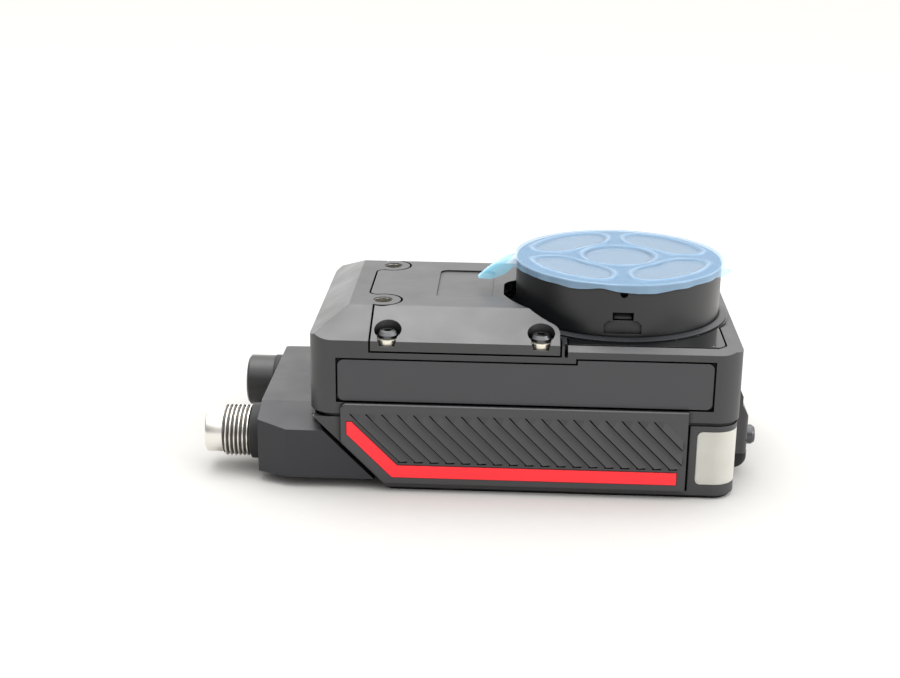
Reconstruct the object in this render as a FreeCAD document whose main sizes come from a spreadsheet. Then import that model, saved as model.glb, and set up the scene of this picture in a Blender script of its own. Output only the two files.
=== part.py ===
import FreeCAD, Part
import os
import math
import Sketcher

# A compact machine vision camera, lying on its flat base with its lens up.
# Frame: origin at the centre of the base's underside, +X towards the lamp end, +Y to the rear, +Z up.

SIZES = [
    ("body_length", 97.0, "upper housing, left end to right end"),
    ("body_width", 60.0, "upper housing, front to rear"),
    ("corner_radius", 5.5, "upright corners of the upper housing"),
    ("base_inset", 0.3, "step from the upper housing in to the base"),
    ("base_top", 17.7, "height of the base housing"),
    ("base_wall", 2.6, "base side walls"),
    ("base_floor", 2.6, "base floor"),
    ("base_chamfer", 1.0, "lower edge of the base"),
    ("gasket_thickness", 0.9, "seal between base and upper housing"),
    ("gasket_width", 1.6, "width of the seal's section"),
    ("gasket_inset", 0.7, "seal's outer edge in from the housing face"),
    ("eave", 35.9, "height where the roof bevels start"),
    ("roof", 40.9, "height of the flat roof"),
    ("end_bevel", 8.1, "run of the bevel at the left end"),
    ("side_bevel", 11.3, "run of the front and rear bevels"),
    ("housing_wall", 2.4, "side walls of the upper housing"),
    ("deck_thickness", 2.2, "deck under the top cover"),
    ("rim", 34.5, "outer edge of the low rim round the light head"),
    ("lip_rise", 1.2, "rise of the rim from its outer to its inner edge"),
    ("lip_width", 2.4, "front and rear rims"),
    ("lip_end_width", 4.3, "rim at the lamp end"),
    ("bezel_thickness", 0.6, "glossy plate in the dish round the head"),
    ("head_x", 70.0, "light head axis from the left end"),
    ("head_radius", 24.0, "light head shell"),
    ("head_top", 48.6, "top edge of the light head"),
    ("head_wall", 1.6, "wall of the light head shell"),
    ("head_edge", 0.8, "rounded top edge of the shell"),
    ("collar_width", 1.8, "collar ring round the foot of the head"),
    ("collar_height", 0.75, "collar ring"),
    ("recess_bottom", 37.0, "finger recess in the head"),
    ("latch_slot_bottom", 40.0, "latch slot in the head"),
    ("latch_slot_height", 2.0, "latch slot in the head"),
    ("hook_gap", 0.2, "latch over the bottom of its slot"),
    ("hook_tip", 0.5, "blunt tip of the latch"),
    ("hook_nose", 1.6, "latch, from its underside to the top of its nose"),
    ("dish_fit", 0.3, "dish past the collar"),
    ("cover_left", 14.05, "top cover's left edge from the left end"),
    ("cover_right", 10.1, "top cover's right edge, right of the head's left side"),
    ("cover_waist", 2.8, "gap between the head and the cover's edge beside it"),
    ("cover_opening", 4.0, "cover's opening round the front of the head, past the head"),
    ("opening_end", 4.1, "rear end of the cover's opening, from the centre plane"),
    ("opening_corner", 4.6, "rounded end of the cover's opening"),
    ("cover_head_gap", 0.4, "gap between the head and the cover behind the opening"),
    ("cover_corner", 3.5, "cover's corners beside the right cover screws"),
    ("waist_half", 13.9, "half width of the cover's edge beside the head"),
    ("shoulder_half", 24.1, "half width where the cover's shoulder starts"),
    ("tongue_left", 12.3, "tongue between the bosses, from the left end"),
    ("tongue_half", 10.2, "half width of the tongue"),
    ("tongue_corner", 1.5, "corners of the tongue"),
    ("skirt_bottom", 33.6, "lower edge of the cover's skirt"),
    ("seam", 0.42, "gap round covers and panels"),
    ("rim_slot_left", 1.0, "slot across the rim, right of the cover"),
    ("rim_slot_width", 0.75, "slot across the rim"),
    ("dish_left", 2.0, "square part of the dish, right of the cover"),
    ("cover_plate", 2.0, "cover's plate over its hollow"),
    ("boss_x", 15.6, "threaded bosses from the left end"),
    ("boss_y", 14.5, "threaded bosses from the centre plane"),
    ("boss_radius", 4.1, "threaded bosses"),
    ("boss_groove", 0.5, "groove between a boss and the cover"),
    ("insert_radius", 2.9, "metal inserts in the bosses"),
    ("insert_bore", 2.05, "bore of the metal inserts"),
    ("insert_lip", 0.25, "plastic lip over the metal inserts"),
    ("insert_opening", 2.2, "opening in the lip over the metal inserts"),
    ("insert_depth", 7.0, "length of the metal inserts"),
    ("cover_screw_left", 17.7, "left pair of cover screws, from the left end"),
    ("cover_screw_right", 5.9, "right pair of cover screws, right of the head's left side"),
    ("cover_screw_inset", 3.7, "cover screws in from the front and rear faces"),
    ("counterbore_radius", 3.05, "wells of the cover screws"),
    ("screw_seat", 34.5, "floor of the wells"),
    ("washer_thickness", 1.35, "bright washers in the wells"),
    ("screw_head_radius", 2.35, "heads of the cover screws"),
    ("screw_head_height", 1.7, "heads of the cover screws"),
    ("screw_radius", 1.25, "shanks of all small screws"),
    ("screw_fit", 0.15, "clearance round a shank"),
    ("cover_screw_length", 6.0, "shanks of the cover screws"),
    ("label_left", 27.6, "shallow label field, from the left end"),
    ("label_length", 13.2, "shallow label field"),
    ("label_width", 23.0, "shallow label field"),
    ("label_depth", 0.35, "shallow label field"),
    ("panel_left", 6.7, "side panel, from the left end"),
    ("panel_right", 90.2, "side panel, from the left end"),
    ("panel_step", 60.1, "step in the panel's top edge, from the left end"),
    ("panel_bottom", 21.7, "side panel"),
    ("panel_top", 31.4, "side panel, left of the step"),
    ("panel_rise", 1.1, "height of the step"),
    ("panel_thickness", 0.9, "side panel"),
    ("panel_pocket", 1.0, "recess for the side panel"),
    ("panel_corner", 1.4, "corners of the side panel"),
    ("trim_left", 7.2, "ribbed side trim, from the left end"),
    ("trim_right", 85.1, "ribbed side trim, from the left end"),
    ("trim_bottom", 1.95, "ribbed side trim"),
    ("trim_top", 21.3, "ribbed side trim"),
    ("trim_cut", 9.8, "45 degree cut of the trim's lower left corner"),
    ("trim_thickness", 0.9, "trim in front of the housing"),
    ("trim_corner", 1.5, "upper left corner of the trim"),
    ("trim_edge", 0.6, "rounded front edges of the trim"),
    ("trim_slot_width", 0.6, "slot in the base right of the trim"),
    ("trim_slot_depth", 1.2, "slot in the base right of the trim"),
    ("rib_left", 9.7, "first rib's top end, from the left end"),
    ("rib_pitch", 3.58, "ribs along the trim"),
    ("rib_count", 20.0, "slanted ribs"),
    ("rib_top", 18.9, "upper ends of the ribs"),
    ("rib_bottom", 7.8, "feet of the ribs"),
    ("rib_ramp", 2.3, "length of a rib's ramp along the trim"),
    ("rib_height", 0.55, "ribs over the trim's face"),
    ("rib_fade", 1.6, "length over which a rib rises from its top end"),
    ("rib_groove", 0.45, "width of the groove along a rib"),
    ("rib_groove_depth", 0.35, "groove along a rib"),
    ("rib_foot", 2.0, "level groove at the foot of a rib"),
    ("field_right", 84.2, "end of the ribbed field, from the left end"),
    ("stripe_left", 8.7, "red stripe, from the left end"),
    ("stripe_right", 83.1, "red stripe, from the left end"),
    ("stripe_bottom", 3.8, "red stripe"),
    ("stripe_width", 2.95, "red stripe"),
    ("stripe_top", 17.0, "upper end of the red stripe"),
    ("stripe_corner", 22.7, "line of the stripe's slanted edge: distance from the left end plus height"),
    ("stripe_pocket", 0.4, "depth of the stripe's groove"),
    ("stripe_proud", 0.1, "stripe over the trim's face"),
    ("lens_left", 87.3, "lamp lens, from the left end"),
    ("lens_corner", 1.2, "corners of the lamp lens"),
    ("lens_bottom", 3.5, "lamp lens"),
    ("lens_top", 16.4, "lamp lens"),
    ("lens_return", 10.0, "lamp lens round the corner"),
    ("lens_thickness", 1.5, "lamp lens"),
    ("post_left", 23.0, "left screw posts, from the left end"),
    ("post_right", 88.0, "right screw posts, from the left end"),
    ("post_half", 23.5, "screw posts from the centre plane"),
    ("post_radius", 3.4, "screw posts"),
    ("base_screw_head", 2.3, "heads of the base screws"),
    ("base_screw_recess", 3.2, "depth of the base screws' wells"),
    ("base_screw_length", 18.0, "shanks of the base screws"),
    ("mount_x", 48.0, "mounting holes along the body"),
    ("mount_y", 36.0, "mounting holes across the body"),
    ("mount_shift", 5.0, "centre of the mounting holes, right of the middle"),
    ("mount_radius", 1.65, "M4 mounting holes, tapping size"),
    ("mount_depth", 6.0, "M4 mounting holes"),
    ("mount_post", 4.0, "bosses over the mounting holes"),
    ("mount_post_height", 8.0, "bosses over the mounting holes"),
    ("swivel_seam", 17.2, "swivel plane of the connector block: distance from the left end plus height"),
    ("swivel_height", 9.9, "swivel axis where it crosses the swivel plane"),
    ("swivel_plate", 1.0, "thickness of the swivel's seal plate"),
    ("swivel_fit", 0.05, "running clearance of the swivel"),
    ("spindle_radius", 5.0, "hollow spindle of the swivel"),
    ("spindle_bore", 3.4, "wire way through the spindle"),
    ("spindle_groove", 0.7, "groove for the spindle's clip"),
    ("clip_thickness", 0.8, "spindle's clip"),
    ("block_end", 12.3, "connector block, past the left end"),
    ("block_inset", 0.5, "connector block in from the housing faces"),
    ("block_bottom", 2.5, "connector block"),
    ("block_eave", 14.1, "connector block, start of its bevels"),
    ("block_top", 17.3, "connector block"),
    ("block_bevel", 10.0, "run of the block's bevels"),
    ("block_corner_x", 7.0, "upright corner cuts of the block, along it"),
    ("block_corner_y", 3.2, "upright corner cuts of the block, across it"),
    ("connector_y", 17.4, "connector axes from the centre plane"),
    ("connector_z", 8.9, "connector axes"),
    ("thread_radius", 6.0, "M12 connector thread"),
    ("thread_length", 7.2, "M12 connector thread"),
    ("connector_length", 13.2, "connector past the block"),
    ("sleeve_radius", 5.2, "plain nose of the connector"),
    ("connector_bore", 4.3, "socket inside the connector"),
    ("seat_radius", 6.5, "black washer under the connector"),
    ("seat_thickness", 2.4, "black washer under the connector"),
    ("socket_depth", 6.0, "power connector's pin carrier below its rim"),
    ("pin_radius", 0.5, "connector pins"),
    ("pin_circle", 2.6, "circle of the connector pins"),
    ("network_radius", 5.7, "network connector's shell"),
    ("network_length", 7.8, "network connector past the block"),
    ("cap_wall", 0.6, "network connector's cap"),
    ("cap_end", 0.9, "end wall of the network connector's cap"),
    ("cap_fit", 0.05, "running clearance inside the cap"),
    ("cap_dome", 0.8, "crown of the cap's end"),
    ("end_cover_width", 34.0, "cable cover at the lamp end"),
    ("end_cover_depth", 3.9, "cable cover, past the base"),
    ("end_cover_bottom", 6.2, "cable cover"),
    ("end_cover_shoulder", 18.3, "upper end of the cable cover's slope"),
    ("end_cover_slope", 3.0, "height of the cable cover's slope"),
    ("end_cover_top", 22.3, "cable cover"),
    ("end_tab_depth", 2.0, "upper part of the cable cover, past the housing"),
    ("end_cover_corner", 1.2, "upright corners of the cable cover"),
    ("end_groove_height", 9.2, "groove across the cable cover"),
    ("end_groove", 0.4, "width and depth of the groove across the cable cover"),
    ("boot_bottom", 1.8, "rubber boot under the cable cover"),
    ("boot_depth", 4.2, "rubber boot, past the base"),
    ("boot_round", 3.0, "rounded underside of the rubber boot"),
    ("boot_corner", 1.2, "rounded sides of the rubber boot"),
    ("boot_inset", 1.3, "rubber boot in from the sides of the cable cover"),
    ("end_screw_y", 12.0, "screws of the cable cover, from the centre plane"),
    ("end_screw_height", 9.2, "screws of the cable cover"),
    ("end_screw_head", 2.3, "heads of the cable cover's screws"),
    ("end_screw_rise", 2.4, "heads of the cable cover's screws"),
    ("face_thickness", 1.6, "face plate of the light head"),
    ("face_recess", 0.5, "face plate below the head's edge"),
    ("window_radius", 7.9, "camera window"),
    ("lobe_inner", 11.2, "light windows, inner edge"),
    ("lobe_outer", 21.4, "light windows, outer edge"),
    ("lobe_gap_half", 2.0, "half the bar between two light windows"),
    ("lobe_corner", 2.8, "corners of the light windows"),
    ("lobe_fit", 0.1, "gap round the light windows"),
    ("film_thickness", 0.1, "protective film"),
    ("film_overhang", 0.5, "film past the light head"),
    ("board_thickness", 1.6, "circuit boards"),
    ("led_board_height", 41.0, "light board's underside"),
    ("led_size", 2.6, "light emitters"),
    ("led_height", 1.1, "light emitters"),
    ("sensor_board_height", 11.0, "sensor board's underside"),
    ("sensor_board_size", 28.0, "sensor board"),
    ("sensor_size", 11.0, "image sensor"),
    ("sensor_height", 1.4, "image sensor"),
    ("holder_radius", 9.5, "lens holder"),
    ("holder_height", 10.0, "lens holder"),
    ("barrel_radius", 7.0, "lens barrel"),
    ("barrel_length", 24.0, "lens barrel"),
    ("barrel_wall", 1.4, "lens barrel"),
    ("barrel_fit", 0.1, "lens barrel in its holder"),
    ("glass_thickness", 2.2, "lens glasses"),
    ("lock_ring_width", 2.2, "lens lock ring"),
    ("lock_ring_height", 2.0, "lens lock ring"),
    ("main_board_height", 22.0, "main board's underside"),
    ("main_board_left", 6.0, "main board, from the left end"),
    ("main_board_right", 50.0, "main board, from the left end"),
    ("main_board_width", 46.0, "main board"),
    ("chip_size", 13.0, "processor"),
    ("chip_height", 1.8, "processor"),
    ("pad_thickness", 0.8, "thermal pad"),
    ("spreader_thickness", 1.5, "heat spreader"),
    ("power_board_left", 36.0, "power board, from the left end"),
    ("power_board_length", 16.0, "power board"),
    ("power_board_width", 26.0, "power board"),
    ("floor_spacer", 2.4, "hexagonal spacers on the base floor"),
]

document = FreeCAD.newDocument("vision_camera")
sheet = document.addObject("Spreadsheet::Sheet", "Sizes")


class Size:
    """A number together with the sheet formula that gives it."""

    def __init__(self, value, formula):
        self.value = value
        self.formula = formula

    def __add__(self, other):
        other = size_of(other)
        return Size(self.value + other.value, f"({self.formula} + {other.formula})")

    def __sub__(self, other):
        other = size_of(other)
        return Size(self.value - other.value, f"({self.formula} - {other.formula})")

    def __mul__(self, other):
        other = size_of(other)
        return Size(self.value * other.value, f"({self.formula} * {other.formula})")

    def __truediv__(self, other):
        other = size_of(other)
        return Size(self.value / other.value, f"({self.formula} / {other.formula})")

    def __neg__(self):
        return size_of(0) - self

    def __radd__(self, other):
        return size_of(other) + self

    def __rsub__(self, other):
        return size_of(other) - self

    def __rmul__(self, other):
        return size_of(other) * self


def size_of(number):
    """A plain number as a Size, or the Size itself."""
    if isinstance(number, Size):
        return number
    return Size(float(number), repr(float(number)))


class Sizes:
    """The sheet's cells as attributes."""


def fill_sheet():
    """Write every driving size into the sheet and return them by name."""
    sizes = Sizes()
    for row, (name, value, note) in enumerate(SIZES, start=1):
        sheet.set(f"A{row}", name)
        sheet.set(f"B{row}", str(value))
        sheet.set(f"C{row}", note)
        sheet.setAlias(f"B{row}", name)
        setattr(sizes, name, Size(value, f"Sizes.{name}"))
    document.recompute()
    return sizes


d = fill_sheet()

# Places that many pieces share.
LEFT = -(d.body_length / 2)
RIGHT = d.body_length / 2
HALF = d.body_width / 2
HOUSING_BOTTOM = d.base_top + d.gasket_thickness
LIP_TOP = d.rim + d.lip_rise
DECK_TOP = d.skirt_bottom - d.seam
DECK_BOTTOM = DECK_TOP - d.deck_thickness
HEAD_X = LEFT + d.head_x
DISH_FLOOR = LIP_TOP - d.bezel_thickness - 0.1
BASE_HALF = HALF - d.base_inset
BASE_RIGHT = RIGHT - d.base_inset
SLOPE = math.sqrt(0.5)
BASE_FOOT = LEFT + d.swivel_seam + d.swivel_plate / SLOPE
COVER_SCREW_Y = HALF - d.cover_screw_inset
HEAD_LEFT = HEAD_X - d.head_radius
COVER_RIGHT = HEAD_LEFT + d.cover_right
WAIST_X = HEAD_LEFT - d.cover_waist
TRIM_RIGHT = LEFT + d.trim_right
CONNECTOR_ROOT = LEFT - d.block_end
BEYOND = 1.0
STEM_WALL = 0.5
STEM_FIT = 0.05


def bind(thing, path, size):
    """Tie one property of an object to its sheet formula."""
    thing.setExpression(path, size_of(size).formula)


def new_body(label):
    """An empty body, which may hold several separate solids."""
    body = document.addObject("PartDesign::Body", label)
    body.Label = label
    body.AllowCompound = True
    return body


def origin_plane(body, role):
    """One of the body's own origin planes."""
    return [plane for plane in body.Origin.OriginFeatures if plane.Role == role][0]


def new_sketch(body, role, offset):
    """A sketch on an origin plane of its body, moved along the plane's normal."""
    sketch = body.newObject("Sketcher::SketchObject", "Sketch")
    sketch.AttachmentSupport = (origin_plane(body, role), [""])
    sketch.MapMode = "FlatFace"
    bind(sketch, "AttachmentOffset.Base.z", offset)
    return sketch


def draw_polygon(sketch, points):
    """A closed outline whose corners are bound to the sheet; a third number rounds a square corner."""
    stops = round_corners([[size_of(number) for number in point] for point in points])
    first = sketch.GeometryCount
    count = len(stops)
    starts = []
    ends = []
    for i, (x, y, arc) in enumerate(stops):
        following = stops[(i + 1) % count]
        here = FreeCAD.Vector(x.value, y.value, 0)
        there = FreeCAD.Vector(following[0].value, following[1].value, 0)
        if arc is None:
            sketch.addGeometry(Part.LineSegment(here, there), False)
            leftward = True
        else:
            radius, centre = arc
            leftward = (here - centre).cross(there - centre).z > 0
            way = (here + there - centre * 2).normalize() * radius.value + centre
            sketch.addGeometry(Part.Arc(here, way, there), False)
            sketch.addConstraint(Sketcher.Constraint("Radius", first + i, radius.value))
            bind(sketch, f"Constraints[{sketch.ConstraintCount - 1}]", radius)
        starts.append(1 if leftward else 2)
        ends.append(2 if leftward else 1)
    for i, (x, y, arc) in enumerate(stops):
        after = (i + 1) % count
        sketch.addConstraint(Sketcher.Constraint("Coincident", first + i, ends[i], first + after, starts[after]))
        bind_point(sketch, first + i, starts[i], x, y)


def round_corners(points):
    """Stops of an outline as (x, y, arc), where arc is None or the radius and centre of a rounded corner."""
    stops = []
    for i, point in enumerate(points):
        x, y = point[:2]
        if len(point) == 2:
            stops.append((x, y, None))
            continue
        radius = point[2]
        back = direction(point, points[i - 1])
        ahead = direction(point, points[(i + 1) % len(points)])
        centre = FreeCAD.Vector(x.value + radius.value * (back[0] + ahead[0]),
                                y.value + radius.value * (back[1] + ahead[1]), 0)
        stops.append((x + radius * back[0], y + radius * back[1], (radius, centre)))
        stops.append((x + radius * ahead[0], y + radius * ahead[1], None))
    return stops


def direction(point, other):
    """The axis direction from one corner of an outline to the next."""
    x = other[0].value - point[0].value
    y = other[1].value - point[1].value
    if abs(x) > abs(y):
        return (math.copysign(1, x), 0)
    return (0, math.copysign(1, y))


def draw_circle(sketch, x, y, radius):
    """A circle whose centre and radius are bound to the sheet."""
    x, y, radius = size_of(x), size_of(y), size_of(radius)
    centre = FreeCAD.Vector(x.value, y.value, 0)
    index = sketch.addGeometry(Part.Circle(centre, FreeCAD.Vector(0, 0, 1), radius.value), False)
    bind_point(sketch, index, 3, x, y)
    number = sketch.addConstraint(Sketcher.Constraint("Radius", index, radius.value))
    bind(sketch, f"Constraints[{number}]", radius)


def bind_point(sketch, index, vertex, x, y):
    """Bind one point of a sketch to its place from the origin."""
    number = sketch.addConstraint(Sketcher.Constraint("DistanceX", -1, 1, index, vertex, x.value))
    bind(sketch, f"Constraints[{number}]", x)
    number = sketch.addConstraint(Sketcher.Constraint("DistanceY", -1, 1, index, vertex, y.value))
    bind(sketch, f"Constraints[{number}]", y)


def draw(sketch, loops):
    """Draw each loop: a list of corners, or a circle as (x, y, radius)."""
    for loop in loops:
        if isinstance(loop, tuple):
            draw_circle(sketch, *loop)
        else:
            draw_polygon(sketch, loop)


def volume(body):
    """Volume of a body so far."""
    return 0.0 if body.Shape.isNull() else body.Shape.Volume


def settle(body, feature, grows):
    """Recompute and make sure that a feature added or removed material."""
    before = volume(body)
    document.recompute()
    change = volume(body) - before
    if (change > 0) != grows or abs(change) < 1e-6:
        raise RuntimeError(f"{body.Label}: {feature.Name} changed the volume by {change:.6f}")


def pad(body, role, low, high, loops):
    """Add a prism between two offsets of a plane."""
    sketch = new_sketch(body, role, low)
    draw(sketch, loops)
    feature = body.newObject("PartDesign::Pad", "Pad")
    feature.Profile = sketch
    bind(feature, "Length", high - low)
    settle(body, feature, True)
    return feature


def cut(body, role, low, high, loops):
    """Remove a prism between two offsets of a plane."""
    sketch = new_sketch(body, role, high)
    draw(sketch, loops)
    feature = body.newObject("PartDesign::Pocket", "Pocket")
    feature.Profile = sketch
    bind(feature, "Length", high - low)
    settle(body, feature, False)
    return feature


def turn(body, x, y, profile):
    """Turn a profile of (radius, height) corners about an upright line."""
    sketch = new_sketch(body, "XZ_Plane", -size_of(y))
    x = size_of(x)
    foot = FreeCAD.Vector(x.value, 0, 0)
    head = FreeCAD.Vector(x.value, 1, 0)
    axis = sketch.addGeometry(Part.LineSegment(foot, head), True)
    bind_point(sketch, axis, 1, x, size_of(0))
    bind_point(sketch, axis, 2, x, size_of(1))
    draw_polygon(sketch, [(x + radius, height) for radius, height in profile])
    feature = body.newObject("PartDesign::Revolution", "Revolution")
    feature.Profile = sketch
    feature.ReferenceAxis = (sketch, ["Axis0"])
    feature.Angle = 360
    settle(body, feature, True)
    return feature


def pick_edges(body, test):
    """Names of the edges of a body that pass a test."""
    return [f"Edge{i}" for i, edge in enumerate(body.Shape.Edges, start=1) if test(edge)]


def is_upright(edge):
    """True for a straight edge along Z."""
    ends = edge.Vertexes
    if len(ends) != 2 or edge.Curve.TypeId != "Part::GeomLine":
        return False
    return abs(ends[0].X - ends[1].X) < 1e-4 and abs(ends[0].Y - ends[1].Y) < 1e-4


def is_deep(edge):
    """True for a straight edge along Y."""
    ends = edge.Vertexes
    if len(ends) != 2 or edge.Curve.TypeId != "Part::GeomLine":
        return False
    return abs(ends[0].X - ends[1].X) < 1e-4 and abs(ends[0].Z - ends[1].Z) < 1e-4


def near(edge, x=None, y=None, z=None):
    """True where an edge's middle is at the given places; None leaves one free."""
    middle = edge.CenterOfMass
    wanted = [(middle.x, x), (middle.y, y), (middle.z, z)]
    return all(place is None or abs(have - size_of(place).value) < 1e-3 for have, place in wanted)


def fillet(body, radius, test):
    """Round the edges that pass a test."""
    return dress(body, "PartDesign::Fillet", "Radius", radius, test)


def chamfer(body, width, test):
    """Break the edges that pass a test."""
    return dress(body, "PartDesign::Chamfer", "Size", width, test)


def dress(body, kind, measure, size, test):
    """Fillet or chamfer the edges that pass a test."""
    names = pick_edges(body, test)
    if not names:
        raise RuntimeError(f"{body.Label}: no edge to dress")
    base = body.Tip
    feature = body.newObject(kind, "Dress")
    feature.Base = (base, names)
    bind(feature, measure, size)
    document.recompute()
    return feature


def box(x_low, x_high, y_low, y_high):
    """Corners of a rectangle."""
    return [(x_low, y_low), (x_high, y_low), (x_high, y_high), (x_low, y_high)]


def rounded_box(x_low, x_high, y_low, y_high, radius):
    """Corners of a rectangle, each with the radius that rounds it."""
    return [(x, y, radius) for x, y in box(x_low, x_high, y_low, y_high)]


def subtract(label, body, tools):
    """A body less some tool solids."""
    union = tools[0]
    if len(tools) > 1:
        union = document.addObject("Part::MultiFuse", label + "_tools")
        union.Shapes = tools
    result = document.addObject("Part::Cut", label)
    result.Label = label
    result.Base = body
    result.Tool = union
    document.recompute()
    return result


def mirror(label, source):
    """The rear twin of a front piece."""
    twin = document.addObject("Part::Mirroring", label)
    twin.Label = label
    twin.Source = source
    twin.Normal = FreeCAD.Vector(0, 1, 0)
    document.recompute()
    return twin


def place_on_swivel(thing, along):
    """Stand an upright piece on the swivel axis, so many millimetres past the swivel plane."""
    thing.Placement.Rotation = FreeCAD.Rotation(FreeCAD.Vector(0, 1, 0), 45)
    bind(thing, "Placement.Base.x", LEFT + d.swivel_seam - d.swivel_height + along * SLOPE)
    bind(thing, "Placement.Base.z", d.swivel_height + along * SLOPE)
    document.recompute()


def place_on_connector(thing, side):
    """Lay an upright piece along a connector axis, pointing out of the block."""
    thing.Placement.Rotation = FreeCAD.Rotation(FreeCAD.Vector(0, 1, 0), -90)
    bind(thing, "Placement.Base.x", CONNECTOR_ROOT)
    bind(thing, "Placement.Base.y", d.connector_y * side)
    bind(thing, "Placement.Base.z", d.connector_z)
    document.recompute()


# ---------------------------------------------------------------- housings

def post_places():
    """Centres of the four screw posts."""
    return [(LEFT + x, side * d.post_half) for x in (d.post_left, d.post_right) for side in (-1, 1)]


def mount_places():
    """Centres of the four mounting holes."""
    return [(d.mount_shift + side * d.mount_x / 2, face * d.mount_y / 2)
            for side in (-1, 1) for face in (-1, 1)]


def cover_screw_places():
    """Centres of the four cover screws."""
    return [(x, side * COVER_SCREW_Y) for x in screw_columns() for side in (-1, 1)]


def screw_columns():
    """Places of the two pairs of cover screws along the body."""
    return (LEFT + d.cover_screw_left, HEAD_LEFT + d.cover_screw_right)


def base_housing():
    """Lower shell with its slanted swivel face, screw posts and lamp recesses."""
    body = new_body("base_stock")
    outline = [(BASE_FOOT, 0), (BASE_RIGHT, 0), (BASE_RIGHT, d.base_top), (BASE_FOOT - d.base_top, d.base_top)]
    pad(body, "XZ_Plane", -BASE_HALF, BASE_HALF, [outline])
    fillet(body, d.corner_radius - d.base_inset, lambda e: is_upright(e) and near(e, x=BASE_RIGHT))
    chamfer(body, d.base_chamfer, lambda e: near(e, z=0) and not near(e, x=BASE_FOOT))
    wall = d.base_wall
    inner_foot = BASE_FOOT + wall / SLOPE
    hollow = [(inner_foot - d.base_floor, d.base_floor), (BASE_RIGHT - wall, d.base_floor),
              (BASE_RIGHT - wall, d.base_top + BEYOND), (inner_foot - d.base_top - BEYOND, d.base_top + BEYOND)]
    cut(body, "XZ_Plane", wall - BASE_HALF, BASE_HALF - wall, [hollow])
    fillet(body, wall, lambda e: is_upright(e) and near(e, x=BASE_RIGHT - wall))
    posts = [(x, y, d.post_radius) for x, y in post_places()]
    pad(body, "XY_Plane", d.base_floor / 2, d.base_top, posts)
    bosses = [(x, y, d.mount_post) for x, y in mount_places()]
    pad(body, "XY_Plane", d.base_floor / 2, d.mount_post_height, bosses)
    cut(body, "XY_Plane", size_of(-BEYOND), d.base_top + BEYOND,
        [(x, y, d.screw_radius + d.screw_fit) for x, y in post_places()])
    cut(body, "XY_Plane", size_of(-BEYOND), d.base_screw_recess,
        [(x, y, d.base_screw_head + d.screw_fit) for x, y in post_places()])
    cut(body, "XY_Plane", size_of(-BEYOND), d.mount_depth, [(x, y, d.mount_radius) for x, y in mount_places()])
    for side in (-1, 1):
        cut(body, "XY_Plane", d.lens_bottom, d.lens_top, [lens_outline(side, size_of(0), BEYOND)])
    fillet(body, d.lens_corner, lambda e: is_deep(e) and near(e, x=LEFT + d.lens_left))
    slot = box(TRIM_RIGHT, TRIM_RIGHT + d.trim_slot_width, d.trim_bottom, d.base_top + BEYOND)
    for side in (-1, 1):
        low = BASE_HALF - d.trim_slot_depth if side < 0 else -BASE_HALF - BEYOND
        high = BASE_HALF + BEYOND if side < 0 else d.trim_slot_depth - BASE_HALF
        cut(body, "XZ_Plane", low, high, [slot])
    cut(body, "YZ_Plane", BASE_RIGHT - wall - BEYOND, BASE_RIGHT + BEYOND,
        [(side * d.end_screw_y, d.end_screw_height, d.screw_radius) for side in (-1, 1)])
    bore = document.addObject("Part::Cylinder", "spindle_bore")
    bind(bore, "Radius", d.spindle_radius + d.swivel_fit)
    bind(bore, "Height", d.swivel_plate + wall + 2 * BEYOND)
    place_on_swivel(bore, size_of(0))
    return subtract("base_housing", body, [bore])


def lens_outline(side, gap, beyond):
    """Plan of a lamp lens round one corner, as a hook shape."""
    left = LEFT + d.lens_left + gap
    outer_x = BASE_RIGHT + beyond
    outer_y = BASE_HALF + beyond
    inner_x = BASE_RIGHT - d.lens_thickness + gap
    inner_y = BASE_HALF - d.lens_thickness + gap
    tail_y = BASE_HALF - d.lens_return + gap
    corner = d.corner_radius - d.base_inset - d.lens_thickness
    return [(left, side * outer_y), (outer_x, side * outer_y), (outer_x, side * tail_y),
            (inner_x, side * tail_y), (inner_x, side * inner_y, corner), (left, side * inner_y)]


def cut_side_bevels(body):
    """Slope the front and rear of the roof."""
    rise = (d.roof + BEYOND - d.eave) / (d.roof - d.eave)
    inner = HALF - d.side_bevel * rise
    outer = HALF + BEYOND
    for side in (-1, 1):
        slope = [(side * outer, d.eave), (side * HALF, d.eave), (side * inner, d.roof + BEYOND),
                 (side * outer, d.roof + BEYOND)]
        cut(body, "YZ_Plane", LEFT - BEYOND, RIGHT + BEYOND, [slope])


def cover_outline(gap):
    """Plan of the top cover, grown by a gap."""
    front = [(LEFT + d.cover_left - gap, -HALF - BEYOND * 2),
             (COVER_RIGHT + gap, -HALF - BEYOND * 2),
             (COVER_RIGHT + gap, -d.shoulder_half),
             (WAIST_X + gap, -d.waist_half)]
    rear = [(x, -y) for x, y in reversed(front)]
    half = d.tongue_half + gap
    left = LEFT + d.tongue_left - gap
    corner = d.tongue_corner + gap
    tongue = [(LEFT + d.cover_left - gap, half), (left, half, corner), (left, -half, corner),
              (LEFT + d.cover_left - gap, -half)]
    return front + rear + tongue


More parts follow.
